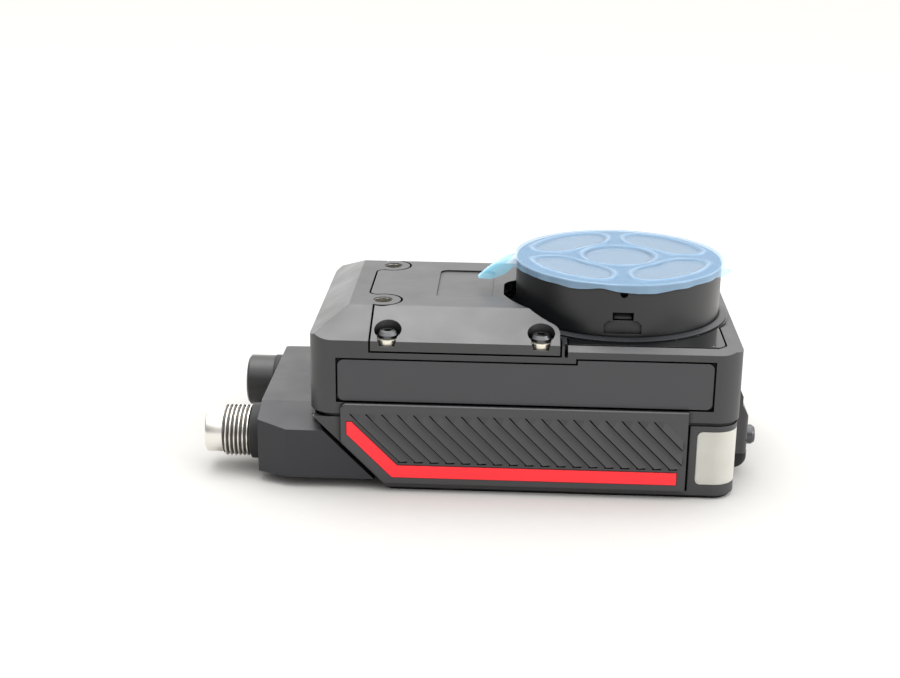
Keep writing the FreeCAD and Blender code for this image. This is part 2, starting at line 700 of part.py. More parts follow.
def upper_housing():
    """Upper shell: bevelled roof, bay for the cover, low rim and dish round the light head."""
    body = new_body("upper_housing")
    pad(body, "XY_Plane", HOUSING_BOTTOM, d.roof, [box(LEFT, RIGHT, -HALF, HALF)])
    fillet(body, d.corner_radius, is_upright)
    above = d.roof + BEYOND
    cut_side_bevels(body)
    rise = (above - d.eave) / (d.roof - d.eave)
    end_slope = [(LEFT - BEYOND, d.eave), (LEFT, d.eave), (LEFT + d.end_bevel * rise, above),
                 (LEFT - BEYOND, above)]
    cut(body, "XZ_Plane", -HALF - BEYOND, HALF + BEYOND, [end_slope])
    cut(body, "XY_Plane", LIP_TOP, above,
        [box(WAIST_X - BEYOND, RIGHT + BEYOND, -HALF - BEYOND, HALF + BEYOND)])
    cut_rim_slopes(body)
    cut(body, "XY_Plane", DISH_FLOOR, above, [dish_outline(d.seam)])
    cut(body, "XY_Plane", DISH_FLOOR, above, [(HEAD_X, 0, head_dish_radius() + d.seam)])
    cut(body, "XY_Plane", DECK_TOP, above, [cover_outline(d.seam)])
    pad(body, "XY_Plane", DECK_TOP - d.deck_thickness / 2, d.roof,
        [(LEFT + d.boss_x, side * d.boss_y, d.boss_radius) for side in (-1, 1)])
    cut(body, "XY_Plane", d.roof - d.insert_depth, d.roof - d.insert_lip,
        [(LEFT + d.boss_x, side * d.boss_y, d.insert_radius) for side in (-1, 1)])
    cut(body, "XY_Plane", d.roof - d.insert_depth, above,
        [(LEFT + d.boss_x, side * d.boss_y, d.insert_opening) for side in (-1, 1)])
    wall = d.housing_wall
    cut(body, "XY_Plane", HOUSING_BOTTOM, DECK_BOTTOM, [box(LEFT + wall, RIGHT - wall, wall - HALF, HALF - wall)])
    cut(body, "XY_Plane", DECK_BOTTOM - BEYOND, above, [(HEAD_X, 0, lamp_opening())])
    pad(body, "XY_Plane", HOUSING_BOTTOM, DECK_BOTTOM + d.deck_thickness / 2,
        [(x, y, d.post_radius) for x, y in post_places()])
    pad(body, "XY_Plane", screw_post_bottom(), DECK_BOTTOM + d.deck_thickness / 2,
        [(x, y, d.post_radius) for x, y in cover_screw_places()])
    cut(body, "XY_Plane", HOUSING_BOTTOM - BEYOND, HOUSING_BOTTOM + d.base_screw_length / 2,
        [(x, y, d.screw_radius) for x, y in post_places()])
    cut(body, "XY_Plane", d.screw_seat - d.cover_screw_length - 0.5, above,
        [(x, y, d.screw_radius) for x, y in cover_screw_places()])
    for side in (-1, 1):
        cut_side_panel_pocket(body, side)
        left = COVER_RIGHT + d.rim_slot_left
        slot = box(left, left + d.rim_slot_width, DECK_TOP, above)
        low = HALF - d.lip_width if side < 0 else -HALF - BEYOND
        high = HALF + BEYOND if side < 0 else d.lip_width - HALF
        cut(body, "XZ_Plane", low, high, [slot])
    return body


def screw_post_bottom():
    """Lower end of the posts that take the cover screws."""
    return d.screw_seat - d.cover_screw_length - 2 * BEYOND


def lamp_opening():
    """Radius of the housing's opening under the light head."""
    return d.head_radius - 3 * d.head_wall


def head_dish_radius():
    """Radius of the round part of the dish at the foot of the head."""
    return d.head_radius + d.collar_width + d.dish_fit


def dish_outline(gap):
    """Plan of the dish round the light head, grown by a gap."""
    left = COVER_RIGHT + d.dish_left - gap
    side = HALF - d.lip_width + gap
    right = RIGHT - d.lip_end_width + gap
    corner = d.lip_width
    return [(left, -side), (right, -side, corner), (right, side, corner), (left, side)]


def cut_rim_slopes(body):
    """Slope the low rim down to its outer edge."""
    above = LIP_TOP + BEYOND
    steep = (above - d.rim) / d.lip_rise
    left = COVER_RIGHT + d.rim_slot_left
    for side in (-1, 1):
        slope = [(side * (HALF + BEYOND), d.rim), (side * HALF, d.rim),
                 (side * (HALF - d.lip_width * steep), above), (side * (HALF + BEYOND), above)]
        cut(body, "YZ_Plane", left, RIGHT + BEYOND, [slope])
    slope = [(RIGHT + BEYOND, d.rim), (RIGHT, d.rim), (RIGHT - d.lip_end_width * steep, above),
             (RIGHT + BEYOND, above)]
    cut(body, "XZ_Plane", -HALF - BEYOND, HALF + BEYOND, [slope])


def panel_outline(gap):
    """Elevation of the side panel, grown by a gap."""
    left = LEFT + d.panel_left - gap
    right = LEFT + d.panel_right + gap
    step = LEFT + d.panel_step - gap
    bottom = d.panel_bottom - gap
    low_top = d.panel_top + gap
    high_top = low_top + d.panel_rise
    return [(left, bottom), (right, bottom), (right, high_top), (step, high_top), (step, low_top), (left, low_top)]


def cut_side_panel_pocket(body, side):
    """Recess for a side panel in the front or rear face."""
    low = HALF - d.panel_pocket if side < 0 else -HALF - BEYOND
    high = HALF + BEYOND if side < 0 else d.panel_pocket - HALF
    cut(body, "XZ_Plane", low, high, [panel_outline(d.seam)])


def housing_gasket():
    """Flat seal between the two housings."""
    body = new_body("housing_gasket")
    inset = d.gasket_inset
    inner = inset + d.gasket_width
    left = BASE_FOOT - d.base_top + inset
    round_out = d.corner_radius - inset
    round_in = d.corner_radius - inner
    outline = rounded_box(left, RIGHT - inset, inset - HALF, HALF - inset, round_out)
    hole = rounded_box(left + d.gasket_width, RIGHT - inner, inner - HALF, HALF - inner, round_in)
    pad(body, "XY_Plane", d.base_top, HOUSING_BOTTOM, [outline, hole])
    return body


# ---------------------------------------------------------------- covers and outside trim

def top_cover():
    """Bevelled cover with a skirt, screw wells, a tongue between the bosses and a label field."""
    body = new_body("top_cover")
    above = d.roof + BEYOND
    below = d.skirt_bottom - BEYOND
    pad(body, "XY_Plane", d.skirt_bottom, d.roof, [cover_plan()])
    pad(body, "XY_Plane", d.eave, d.roof, [box(WAIST_X - d.cover_plate, COVER_RIGHT, -HALF, HALF)])
    cut(body, "XY_Plane", below, above, [(HEAD_X, 0, d.head_radius + d.cover_opening)])
    fillet(body, d.cover_corner, is_inner_corner)
    pad(body, "XY_Plane", d.roof - d.cover_plate, d.roof, [opening_rim()])
    cut(body, "XY_Plane", below, above, [(HEAD_X, 0, d.head_radius + d.cover_head_gap)])
    cut_side_bevels(body)
    cut(body, "XY_Plane", below, above,
        [(LEFT + d.boss_x, side * d.boss_y, d.boss_radius + d.boss_groove) for side in (-1, 1)])
    hollow = box(LEFT + d.boss_x + d.boss_radius + d.boss_groove + d.cover_plate,
                 HEAD_LEFT - d.cover_opening - d.cover_plate, d.side_bevel - HALF, HALF - d.side_bevel)
    cut(body, "XY_Plane", below, d.roof - d.cover_plate, [hollow])
    cut(body, "XY_Plane", d.roof - d.label_depth, above,
        [box(LEFT + d.label_left, LEFT + d.label_left + d.label_length, -d.label_width / 2, d.label_width / 2)])
    fillet(body, d.label_width / 12,
           lambda e: is_upright(e) and near(e, z=d.roof - d.label_depth / 2))
    cut(body, "XY_Plane", d.screw_seat, above, [(x, y, d.counterbore_radius) for x, y in cover_screw_places()])
    cut(body, "XY_Plane", below, above,
        [(x, y, d.screw_radius + d.screw_fit) for x, y in cover_screw_places()])
    for side in (-1, 1):
        low = COVER_SCREW_Y if side < 0 else -HALF - BEYOND
        high = HALF + BEYOND if side < 0 else -COVER_SCREW_Y
        cut(body, "XZ_Plane", low, high, screw_notches())
    return body


def cover_plan():
    """Plan of the top cover at its real size."""
    points = cover_outline(size_of(0))
    return [(point[0], clip_half(point[1]), *point[2:]) for point in points]


def is_inner_corner(edge):
    """True for an upright edge at the cover's right side, away from the front and rear faces."""
    return is_upright(edge) and near(edge, x=COVER_RIGHT) and abs(edge.CenterOfMass.y) < HALF.value - BEYOND


def opening_rim():
    """Plan of the cover's plate left of and behind its opening."""
    left = HEAD_LEFT - d.cover_opening - d.cover_plate
    half = d.head_radius
    return [(left, -d.waist_half), (WAIST_X, -d.waist_half), (WAIST_X, d.opening_end, d.opening_corner),
            (COVER_RIGHT, d.opening_end), (COVER_RIGHT, half), (left, half)]


def clip_half(y):
    """A cover corner's place across the body, held to the housing's faces."""
    if y.value < -HALF.value:
        return -HALF
    if y.value > HALF.value:
        return size_of(HALF)
    return y


def screw_notches():
    """Tapered notches where the screw wells break through the skirt."""
    notches = []
    for x in screw_columns():
        top = d.counterbore_radius * 0.76
        foot = d.counterbore_radius * 0.54
        shelf = d.screw_seat + d.screw_fit
        notches.append([(x - foot, shelf), (x + foot, shelf), (x + top, d.eave + BEYOND), (x - top, d.eave + BEYOND)])
    return notches


def cover_screws():
    """Four pan head screws with socket drives."""
    body = new_body("cover_screws")
    seat = d.screw_seat + d.washer_thickness
    crown = seat + d.screw_head_height
    for x, y in cover_screw_places():
        turn(body, x, y, [(0, seat - d.cover_screw_length), (d.screw_radius, seat - d.cover_screw_length),
                          (d.screw_radius, seat), (d.screw_head_radius, seat),
                          (d.screw_head_radius, seat + d.screw_head_height * 0.45),
                          (d.screw_head_radius * 0.75, crown - d.screw_head_height * 0.12), (0, crown)])
    cut(body, "XY_Plane", crown - d.screw_head_height * 0.6, crown + BEYOND,
        [hexagon(x, y, d.screw_head_radius * 0.42) for x, y in cover_screw_places()])
    return body


def hexagon(x, y, radius):
    """Corners of a hexagonal socket."""
    high = radius * math.sqrt(0.75)
    return [(x + radius, y), (x + radius / 2, y + high), (x - radius / 2, y + high),
            (x - radius, y), (x - radius / 2, y - high), (x + radius / 2, y - high)]


def cover_screw_washers():
    """Bright washers under the cover screws."""
    body = new_body("cover_screw_washers")
    rings = []
    for x, y in cover_screw_places():
        rings.append((x, y, d.counterbore_radius - 0.1))
        rings.append((x, y, d.screw_radius + d.screw_fit))
    pad(body, "XY_Plane", d.screw_seat, d.screw_seat + d.washer_thickness, rings)
    return body


def mounting_inserts():
    """Metal threaded inserts in the two bosses."""
    body = new_body("mounting_inserts")
    rings = []
    for side in (-1, 1):
        rings.append((LEFT + d.boss_x, side * d.boss_y, d.insert_radius))
        rings.append((LEFT + d.boss_x, side * d.boss_y, d.insert_bore))
    pad(body, "XY_Plane", d.roof - d.insert_depth, d.roof - d.insert_lip, rings)
    return body


def side_panel():
    """Flat stepped panel let into the front face."""
    body = new_body("side_panel_front")
    pad(body, "XZ_Plane", HALF - d.panel_pocket, HALF - d.panel_pocket + d.panel_thickness,
        [panel_outline(size_of(0))])
    corners = [LEFT + d.panel_left, LEFT + d.panel_right]
    fillet(body, d.panel_corner, lambda e: is_deep(e) and any(near(e, x=corner) for corner in corners))
    return body


def side_trim():
    """Ribbed trim with a groove for the red stripe."""
    body = new_body("side_trim_front")
    left = LEFT + d.trim_left
    right = LEFT + d.trim_right
    cut_corner = d.trim_bottom + d.trim_cut
    outline = [(left + d.trim_cut, d.trim_bottom), (right, d.trim_bottom), (right, d.trim_top),
               (left, d.trim_top, d.trim_corner), (left, cut_corner)]
    face = HALF + d.trim_thickness
    pad(body, "XZ_Plane", HALF, face, [outline])
    fillet(body, d.trim_edge, lambda e: near(e, y=-face) and not near(e, x=right))
    tab = box(left + d.trim_cut + d.base_wall, right - d.base_wall, d.trim_bottom + d.base_wall, d.base_top - BEYOND)
    pad(body, "XZ_Plane", BASE_HALF, HALF + d.trim_thickness / 2, [tab])
    cut(body, "XZ_Plane", face - d.stripe_pocket, face + BEYOND, [stripe_outline(size_of(0.1))])
    add_ribs(body, face)
    return body


def stripe_outline(gap):
    """Elevation of the red stripe, grown by a gap."""
    left = LEFT + d.stripe_left - gap
    right = LEFT + d.stripe_right + gap
    bottom = d.stripe_bottom - gap
    outer = LEFT + d.stripe_corner - gap / SLOPE
    inner = LEFT + d.stripe_corner + (d.stripe_width + gap) / SLOPE
    top = d.stripe_top + gap
    high = d.stripe_bottom + d.stripe_width + gap
    foot_line = outer - bottom
    return [(foot_line, bottom), (right, bottom), (right, high), (inner - high, high), (inner - top, top),
            (left, top), (left, outer - left)]


def add_ribs(body, face):
    """Slanted ribs: each is a ramp that rises to a sharp lower left edge beside a groove with a level foot."""
    start = LEFT + d.rib_left
    end = start + d.rib_ramp
    front = -face - d.rib_height
    root = d.rib_height / 2 - face
    slant(body, "PartDesign::Pad", "Rib", [(start, root), (start, front), (end, -face), (end, root)])
    steep = 2
    fade = [(-face, d.rib_top), (-face - d.rib_height * steep, d.rib_top - d.rib_fade * steep),
            (-face - d.rib_height * steep, d.rib_top)]
    beyond = RIGHT + d.body_length
    cut(body, "YZ_Plane", LEFT + d.trim_left, beyond, [fade])
    side = start - d.rib_groove
    floor = d.rib_groove_depth - face
    outer = front - BEYOND
    slant(body, "PartDesign::Pocket", "Groove", [(side, floor), (side, outer), (start, outer), (start, floor)])
    foot = side + (d.rib_top - d.rib_bottom)
    low = d.rib_bottom - d.rib_groove
    level = cut(body, "XZ_Plane", face - d.rib_groove_depth, face + BEYOND,
                [box(foot, foot + d.rib_foot, low, d.rib_bottom)])
    repeat(body, level, "LevelRow")
    cut(body, "XZ_Plane", face, face + BEYOND, [box(LEFT + d.field_right, beyond, size_of(0), d.roof)])
    cut(body, "XZ_Plane", HALF - BEYOND, face + BEYOND, [box(TRIM_RIGHT, beyond, size_of(0), d.roof)])
    pad(body, "XZ_Plane", face - d.rib_groove_depth, face,
        [box(LEFT + d.field_right, TRIM_RIGHT, low, d.rib_top)])


def slant(body, kind, name, points):
    """Sweep a plan outline down the slant of the ribs and repeat it along the trim."""
    sketch = new_sketch(body, "XY_Plane", d.rib_top)
    draw_polygon(sketch, points)
    feature = body.newObject(kind, name)
    feature.Profile = sketch
    feature.UseCustomVector = True
    feature.Direction = FreeCAD.Vector(SLOPE, 0, -SLOPE)
    feature.AlongSketchNormal = True
    bind(feature, "Length", d.rib_top - d.rib_bottom)
    settle(body, feature, kind.endswith("Pad"))
    repeat(body, feature, name + "Row")


def repeat(body, feature, name):
    """Repeat a feature along the trim, once for each rib."""
    grows = feature.TypeId.endswith("Pad")
    row = body.newObject("PartDesign::LinearPattern", name)
    row.Originals = [feature]
    row.Direction = (feature.Profile[0], ["H_Axis"])
    bind(row, "Length", d.rib_pitch * (d.rib_count - 1))
    bind(row, "Occurrences", d.rib_count)
    body.Tip = row
    settle(body, row, grows)


def red_stripe():
    """Red stripe that runs down the slant and along the foot of the trim."""
    body = new_body("red_stripe_front")
    face = HALF + d.trim_thickness
    pad(body, "XZ_Plane", face - d.stripe_pocket, face + d.stripe_proud, [stripe_outline(size_of(0))])
    return body


def indicator_lens():
    """Milky lamp lens that wraps the front corner."""
    body = new_body("indicator_lens_front")
    gap = 0.1
    pad(body, "XY_Plane", d.lens_bottom + gap, d.lens_top - gap, [lens_outline(-1, size_of(gap), 0)])
    fillet(body, d.corner_radius - d.base_inset, lambda e: is_upright(e) and near(e, x=BASE_RIGHT, y=-BASE_HALF))
    fillet(body, d.lens_corner, lambda e: is_deep(e) and near(e, x=LEFT + d.lens_left + gap))
    return body


def front_bezel():
    """Glossy plate in the dish round the light head."""
    body = new_body("front_bezel")
    high = DISH_FLOOR + d.bezel_thickness
    pad(body, "XY_Plane", DISH_FLOOR, high, [dish_outline(size_of(0))])
    pad(body, "XY_Plane", DISH_FLOOR, high, [(HEAD_X, 0, head_dish_radius())])
    cut(body, "XY_Plane", DISH_FLOOR - BEYOND, high + BEYOND, [(HEAD_X, 0, d.head_radius + 0.1)])
    return body


def end_cover():
    """Cable cover at the lamp end, with a slope, an upper part over the joint and a groove across it."""
    body = new_body("end_cover")
    half = d.end_cover_width / 2
    face = BASE_RIGHT + d.end_cover_depth
    upper = RIGHT + d.end_tab_depth
    profile = [(BASE_RIGHT, d.end_cover_bottom), (face, d.end_cover_bottom),
               (face, d.end_cover_shoulder - d.end_cover_slope), (upper, d.end_cover_shoulder),
               (upper, d.end_cover_top - d.end_tab_depth), (upper - d.end_tab_depth / 2, d.end_cover_top),
               (RIGHT, d.end_cover_top), (RIGHT, HOUSING_BOTTOM), (RIGHT, d.base_top), (BASE_RIGHT, d.base_top)]
    pad(body, "XZ_Plane", -half, half, [profile])
    for side in (-1, 1):
        fillet(body, d.end_cover_corner, lambda e: is_upright(e) and near(e, x=face, y=side * half))
    cut(body, "XZ_Plane", -half - BEYOND, half + BEYOND,
        [box(face - d.end_groove, face + BEYOND, d.end_groove_height, d.end_groove_height + d.end_groove)])
    cut(body, "YZ_Plane", BASE_RIGHT - BEYOND, face + BEYOND,
        [(side * d.end_screw_y, d.end_screw_height, d.screw_radius + d.screw_fit) for side in (-1, 1)])
    return body


def end_boot():
    """Rubber boot under the cable cover, rounded underneath."""
    body = new_body("end_boot")
    half = d.end_cover_width / 2 - d.boot_inset
    face = BASE_RIGHT + d.boot_depth
    low = d.boot_bottom
    high = d.end_cover_bottom
    pad(body, "XZ_Plane", -half, half, [box(BASE_RIGHT, face, low, high)])
    fillet(body, d.boot_round, lambda e: is_deep(e) and near(e, x=face, z=low))
    for side in (-1, 1):
        fillet(body, d.boot_corner,
               lambda e: near(e, y=side * half) and not near(e, x=BASE_RIGHT) and not near(e, z=high))
    return body


def end_cover_screw():
    """Pan head screws of the cable cover."""
    body = new_body("end_cover_screw")
    seat = d.end_cover_depth
    rise = d.end_screw_rise
    shank = d.screw_radius - STEM_FIT
    for side in (-1, 1):
        turn(body, 0, side * d.end_screw_y,
             [(0, -d.base_wall), (shank, -d.base_wall), (shank, seat), (d.end_screw_head, seat),
              (d.end_screw_head, seat + rise * 0.6), (d.end_screw_head * 0.8, seat + rise * 0.9),
              (0, seat + rise)])
    body.Placement.Rotation = FreeCAD.Rotation(FreeCAD.Vector(0, 1, 0), 90)
    bind(body, "Placement.Base.x", BASE_RIGHT)
    bind(body, "Placement.Base.z", d.end_screw_height)
    document.recompute()
    return body


def base_screws():
    """Four screws that pull the base up to the upper housing."""
    body = new_body("base_screws")
    seat = d.base_screw_recess
    shank = d.screw_radius - 0.02
    for x, y in post_places():
        turn(body, x, y, [(0, seat - d.base_screw_head * 0.8), (d.base_screw_head, seat - d.base_screw_head * 0.8),
                          (d.base_screw_head, seat), (shank, seat), (shank, seat + d.base_screw_length),
                          (0, seat + d.base_screw_length)])
    return body


# ---------------------------------------------------------------- light head and optics

FACE_TOP = d.head_top - d.face_recess
FACE_BOTTOM = FACE_TOP - d.face_thickness
HEAD_BORE = d.head_radius - d.head_wall


def head_shell():
    """Round shell of the light head, with a latch slot, a finger recess and a pin hole in front."""
    body = new_body("head_shell")
    turn(body, HEAD_X, 0, [(HEAD_BORE, DISH_FLOOR), (d.head_radius, DISH_FLOOR),
                           (d.head_radius, d.head_top - d.head_edge),
                           (d.head_radius - d.head_edge * 0.3, d.head_top - d.head_edge * 0.3),
                           (d.head_radius - d.head_edge, d.head_top), (HEAD_BORE, d.head_top)])
    slot_low = d.latch_slot_bottom
    slot_high = slot_low + d.latch_slot_height
    half_slot = d.head_wall * 1.45
    cut(body, "XZ_Plane", HEAD_BORE - 2 * d.head_wall, d.head_radius + BEYOND,
        [box(HEAD_X - half_slot, HEAD_X + half_slot, slot_low, slot_high)])
    recess_low = d.recess_bottom
    half_recess = half_slot * 1.8
    corner = (slot_low - recess_low) / 3
    recess = [(HEAD_X - half_recess, recess_low), (HEAD_X + half_recess, recess_low),
              (HEAD_X + half_recess, slot_low - corner), (HEAD_X + half_recess - corner, slot_low),
              (HEAD_X - half_recess + corner, slot_low), (HEAD_X - half_recess, slot_low - corner)]
    cut(body, "XZ_Plane", d.head_radius - d.head_wall / 2, d.head_radius + BEYOND, [recess])
    cut(body, "XZ_Plane", HEAD_BORE - 2 * d.head_wall, d.head_radius + BEYOND,
        [(HEAD_X, slot_high + d.face_thickness * 2.7, d.head_wall * 0.55)])
    return body


def head_collar():
    """Coned ring round the foot of the light head."""
    body = new_body("head_collar")
    foot = DISH_FLOOR + d.bezel_thickness
    top = foot + d.collar_height
    inner = d.head_radius + 0.05
    turn(body, HEAD_X, 0, [(inner, foot), (d.head_radius + d.collar_width, foot),
                           (d.head_radius + d.collar_width, foot + d.collar_height * 0.45),
                           (d.head_radius + d.collar_width * 0.25, top), (inner, top)])
    return body


def lobes(label, gap, low, high):
    """Four light windows: a ring split by a cross, grown by a gap."""
    body = new_body(label)
    pad(body, "XY_Plane", low, high, [(HEAD_X, 0, d.lobe_outer + gap), (HEAD_X, 0, d.lobe_inner - gap)])
    bar = d.lobe_gap_half - gap
    reach = d.lobe_outer + BEYOND * 2
    cross = [(HEAD_X + bar, bar), (HEAD_X + bar, reach), (HEAD_X - bar, reach), (HEAD_X - bar, bar),
             (HEAD_X - reach, bar), (HEAD_X - reach, -bar), (HEAD_X - bar, -bar), (HEAD_X - bar, -reach),
             (HEAD_X + bar, -reach), (HEAD_X + bar, -bar), (HEAD_X + reach, -bar), (HEAD_X + reach, bar)]
    cut(body, "XY_Plane", low - BEYOND, high + BEYOND, [cross])
    fillet(body, d.lobe_corner + gap, is_upright)
    return body


def light_lenses():
    """Four frosted light windows in the face plate."""
    return lobes("light_lenses", size_of(0), FACE_BOTTOM, FACE_TOP + d.face_recess / 2)


def head_face():
    """Face plate that carries the camera window and the light windows."""
    body = new_body("face_stock")
    pad(body, "XY_Plane", FACE_BOTTOM, FACE_TOP, [(HEAD_X, 0, HEAD_BORE - 0.05)])
    cut(body, "XY_Plane", FACE_BOTTOM - BEYOND, FACE_TOP + BEYOND, [(HEAD_X, 0, d.window_radius + d.lobe_fit)])
    tool = lobes("window_tools", d.lobe_fit, FACE_BOTTOM - BEYOND, FACE_TOP + BEYOND)
    return subtract("head_face", body, [tool])


def camera_window():
    """Clear window over the lens."""
    body = new_body("camera_window")
    pad(body, "XY_Plane", FACE_BOTTOM, FACE_TOP + d.face_recess / 4, [(HEAD_X, 0, d.window_radius)])
    return body


def snap_hook():
    """Springy latch seen through the head's slot."""
    body = new_body("snap_hook")
    half = d.head_wall * 1.25
    ring = HEAD_BORE - 0.1
    low = d.latch_slot_bottom + d.hook_gap
    profile = [(ring - d.head_wall, low), (ring + d.head_wall / 3, low),
               (ring + d.head_wall / 3, low + d.hook_tip), (ring - d.head_wall * 0.2, low + d.hook_nose),
               (ring - d.head_wall * 0.4, FACE_BOTTOM), (ring - d.head_wall, FACE_BOTTOM)]
    pad(body, "YZ_Plane", HEAD_X - half, HEAD_X + half, [[(-y, z) for y, z in profile]])
    return body


def protective_film():
    """Thin film disc stuck over the light head."""
    body = new_body("protective_film")
    pad(body, "XY_Plane", d.head_top, d.head_top + d.film_thickness, [(HEAD_X, 0, d.head_radius + d.film_overhang)])
    return body


def led_board():
    """Ring shaped light board on the head's wall."""
    body = new_body("led_board")
    hole = d.barrel_radius + d.board_thickness
    pad(body, "XY_Plane", d.led_board_height, d.led_board_height + d.board_thickness,
        [(HEAD_X, 0, HEAD_BORE - 0.1 - d.head_wall), (HEAD_X, 0, hole)])
    return body


def led_emitters():
    """Four light emitters under each light window."""
    body = new_body("led_emitters")
    top = d.led_board_height + d.board_thickness
    middle = (d.lobe_inner + d.lobe_outer) / 2 * SLOPE
    half = d.led_size / 2
    spots = []
    for side_x in (-1, 1):
        for side_y in (-1, 1):
            for step_x in (-1, 1):
                for step_y in (-1, 1):
                    x = HEAD_X + side_x * middle + step_x * d.led_size
                    y = side_y * middle + step_y * d.led_size
                    spots.append(box(x - half, x + half, y - half, y + half))
    pad(body, "XY_Plane", top, top + d.led_height, spots)
    return body


def light_chamber():
    """Reflector between the light board and the face plate, one pocket behind each window."""
    body = new_body("light_chamber")
    foot = DISH_FLOOR
    top = FACE_BOTTOM
    ring = HEAD_BORE - 0.1
    turn(body, HEAD_X, 0, [(ring - d.head_wall * 2, foot), (ring, foot), (ring, foot + BEYOND),
                           (ring - d.head_wall * 1.4, foot + BEYOND), (ring - d.head_wall * 1.4, d.led_board_height),
                           (ring - d.head_wall * 2, d.led_board_height)])
    return body


def sensor_board():
    """Square board that carries the image sensor."""
    body = new_body("sensor_board")
    half = d.sensor_board_size / 2
    pad(body, "XY_Plane", d.sensor_board_height, d.sensor_board_height + d.board_thickness,
        [box(HEAD_X - half, HEAD_X + half, -half, half)])
    return body


def image_sensor():
    """Image sensor chip on its board."""
    body = new_body("image_sensor")
    half = d.sensor_size / 2
    low = d.sensor_board_height + d.board_thickness
    pad(body, "XY_Plane", low, low + d.sensor_height, [box(HEAD_X - half, HEAD_X + half, -half, half)])
    return body


HOLDER_FOOT = d.sensor_board_height + d.board_thickness
BARREL_FOOT = HOLDER_FOOT + d.holder_height / 2


def lens_holder():
    """Round holder that squares the lens to the sensor."""
    body = new_body("lens_holder")
    turn(body, HEAD_X, 0, [(d.holder_radius - d.barrel_wall, HOLDER_FOOT), (d.holder_radius, HOLDER_FOOT),
                           (d.holder_radius, HOLDER_FOOT + d.holder_height),
                           (d.barrel_radius + d.barrel_fit, HOLDER_FOOT + d.holder_height),
                           (d.barrel_radius + d.barrel_fit, BARREL_FOOT - 0.1),
                           (d.holder_radius - d.barrel_wall, BARREL_FOOT - 0.1)])
    return body


def lens_barrel():
    """Lens barrel with seats for its two glasses."""
    body = new_body("lens_barrel")
    top = BARREL_FOOT + d.barrel_length
    bore = d.barrel_radius - d.barrel_wall
    seat = bore - d.barrel_wall
    glass = d.glass_thickness
    turn(body, HEAD_X, 0, [(bore, BARREL_FOOT), (d.barrel_radius, BARREL_FOOT), (d.barrel_radius, top), (bore, top),
                           (bore, top - glass - BEYOND), (seat, top - glass - BEYOND), (seat, BARREL_FOOT + glass + BEYOND),
                           (bore, BARREL_FOOT + glass + BEYOND)])
    return body


def lens_glasses():
    """Front and rear glasses, each curved on one side."""
    body = new_body("lens_glasses")
    top = BARREL_FOOT + d.barrel_length
    rim = d.barrel_radius - d.barrel_wall - 0.05
    glass = d.glass_thickness
    front = top - glass - BEYOND
    rear = BARREL_FOOT + glass + BEYOND
    turn(body, HEAD_X, 0, [(0, front), (rim, front), (rim, front + glass * 0.5), (rim * 0.6, front + glass * 0.86),
                           (0, front + glass)])
    turn(body, HEAD_X, 0, [(0, rear - glass), (rim * 0.6, rear - glass * 0.86), (rim, rear - glass * 0.5),
                           (rim, rear), (0, rear)])
    return body


def lens_lock_ring():
    """Ring that locks the barrel in its holder."""
    body = new_body("lens_lock_ring")
    foot = HOLDER_FOOT + d.holder_height
    inner = d.barrel_radius + 0.02
    pad(body, "XY_Plane", foot, foot + d.lock_ring_height,
        [(HEAD_X, 0, inner + d.lock_ring_width), (HEAD_X, 0, inner)])
    return body


# ---------------------------------------------------------------- electronics

BOARD_MIDDLE = (d.main_board_left + d.main_board_right) / 2 + LEFT


def main_board():
    """Main circuit board under the top cover, held between the posts."""
    body = new_body("main_board")
    outline = box(LEFT + d.main_board_left, LEFT + d.main_board_right, -d.main_board_width / 2, d.main_board_width / 2)
    pad(body, "XY_Plane", d.main_board_height, d.main_board_height + d.board_thickness, [outline])
    cut(body, "XY_Plane", d.main_board_height - BEYOND, d.main_board_height + d.board_thickness + BEYOND,
        [(x, y, d.post_radius + 0.3) for x, y in post_places()[:2]])
    return body


def processor():
    """Processor on the main board."""
    body = new_body("processor")
    half = d.chip_size / 2
    low = d.main_board_height + d.board_thickness
    pad(body, "XY_Plane", low, low + d.chip_height, [box(BOARD_MIDDLE - half, BOARD_MIDDLE + half, -half, half)])
    return body


def thermal_pad():
    """Soft pad between the processor and the heat spreader."""
    body = new_body("thermal_pad")
    half = d.chip_size / 2
    low = d.main_board_height + d.board_thickness + d.chip_height
    pad(body, "XY_Plane", low, low + d.pad_thickness, [box(BOARD_MIDDLE - half, BOARD_MIDDLE + half, -half, half)])
    return body


def heat_spreader():
    """Metal plate that carries the processor's heat to the deck."""
    body = new_body("heat_spreader")
    low = d.main_board_height + d.board_thickness + d.chip_height + d.pad_thickness
    half = d.chip_size
    pad(body, "XY_Plane", low, low + d.spreader_thickness,
        [box(BOARD_MIDDLE - half, BOARD_MIDDLE + half, -half, half)])
    pad(body, "XY_Plane", low + d.spreader_thickness / 2, DECK_BOTTOM,
        [box(BOARD_MIDDLE - half / 3, BOARD_MIDDLE + half / 3, -half, half)])
    return body


def board_spacers():
    """Hexagonal spacers that carry the main board from the deck."""
    body = new_body("board_spacers")
    pad(body, "XY_Plane", d.main_board_height + d.board_thickness, DECK_BOTTOM,
        [hexagon(x, y, d.post_radius * 0.8) for x, y in spacer_places()])
    return body


def spacer_places():
    """Centres of the board spacers."""
    reach_x = (d.main_board_right - d.main_board_left) / 2 - d.post_radius
    return [(BOARD_MIDDLE + column * reach_x, side * d.chip_size) for column in (-1, 1) for side in (-1, 1)]


def board_screws():
    """Screws that hold the main board to its spacers."""
    body = new_body("board_screws")
    low = d.main_board_height - d.board_thickness
    pad(body, "XY_Plane", low, d.main_board_height, [(x, y, d.screw_head_radius * 0.8) for x, y in spacer_places()])
    return body


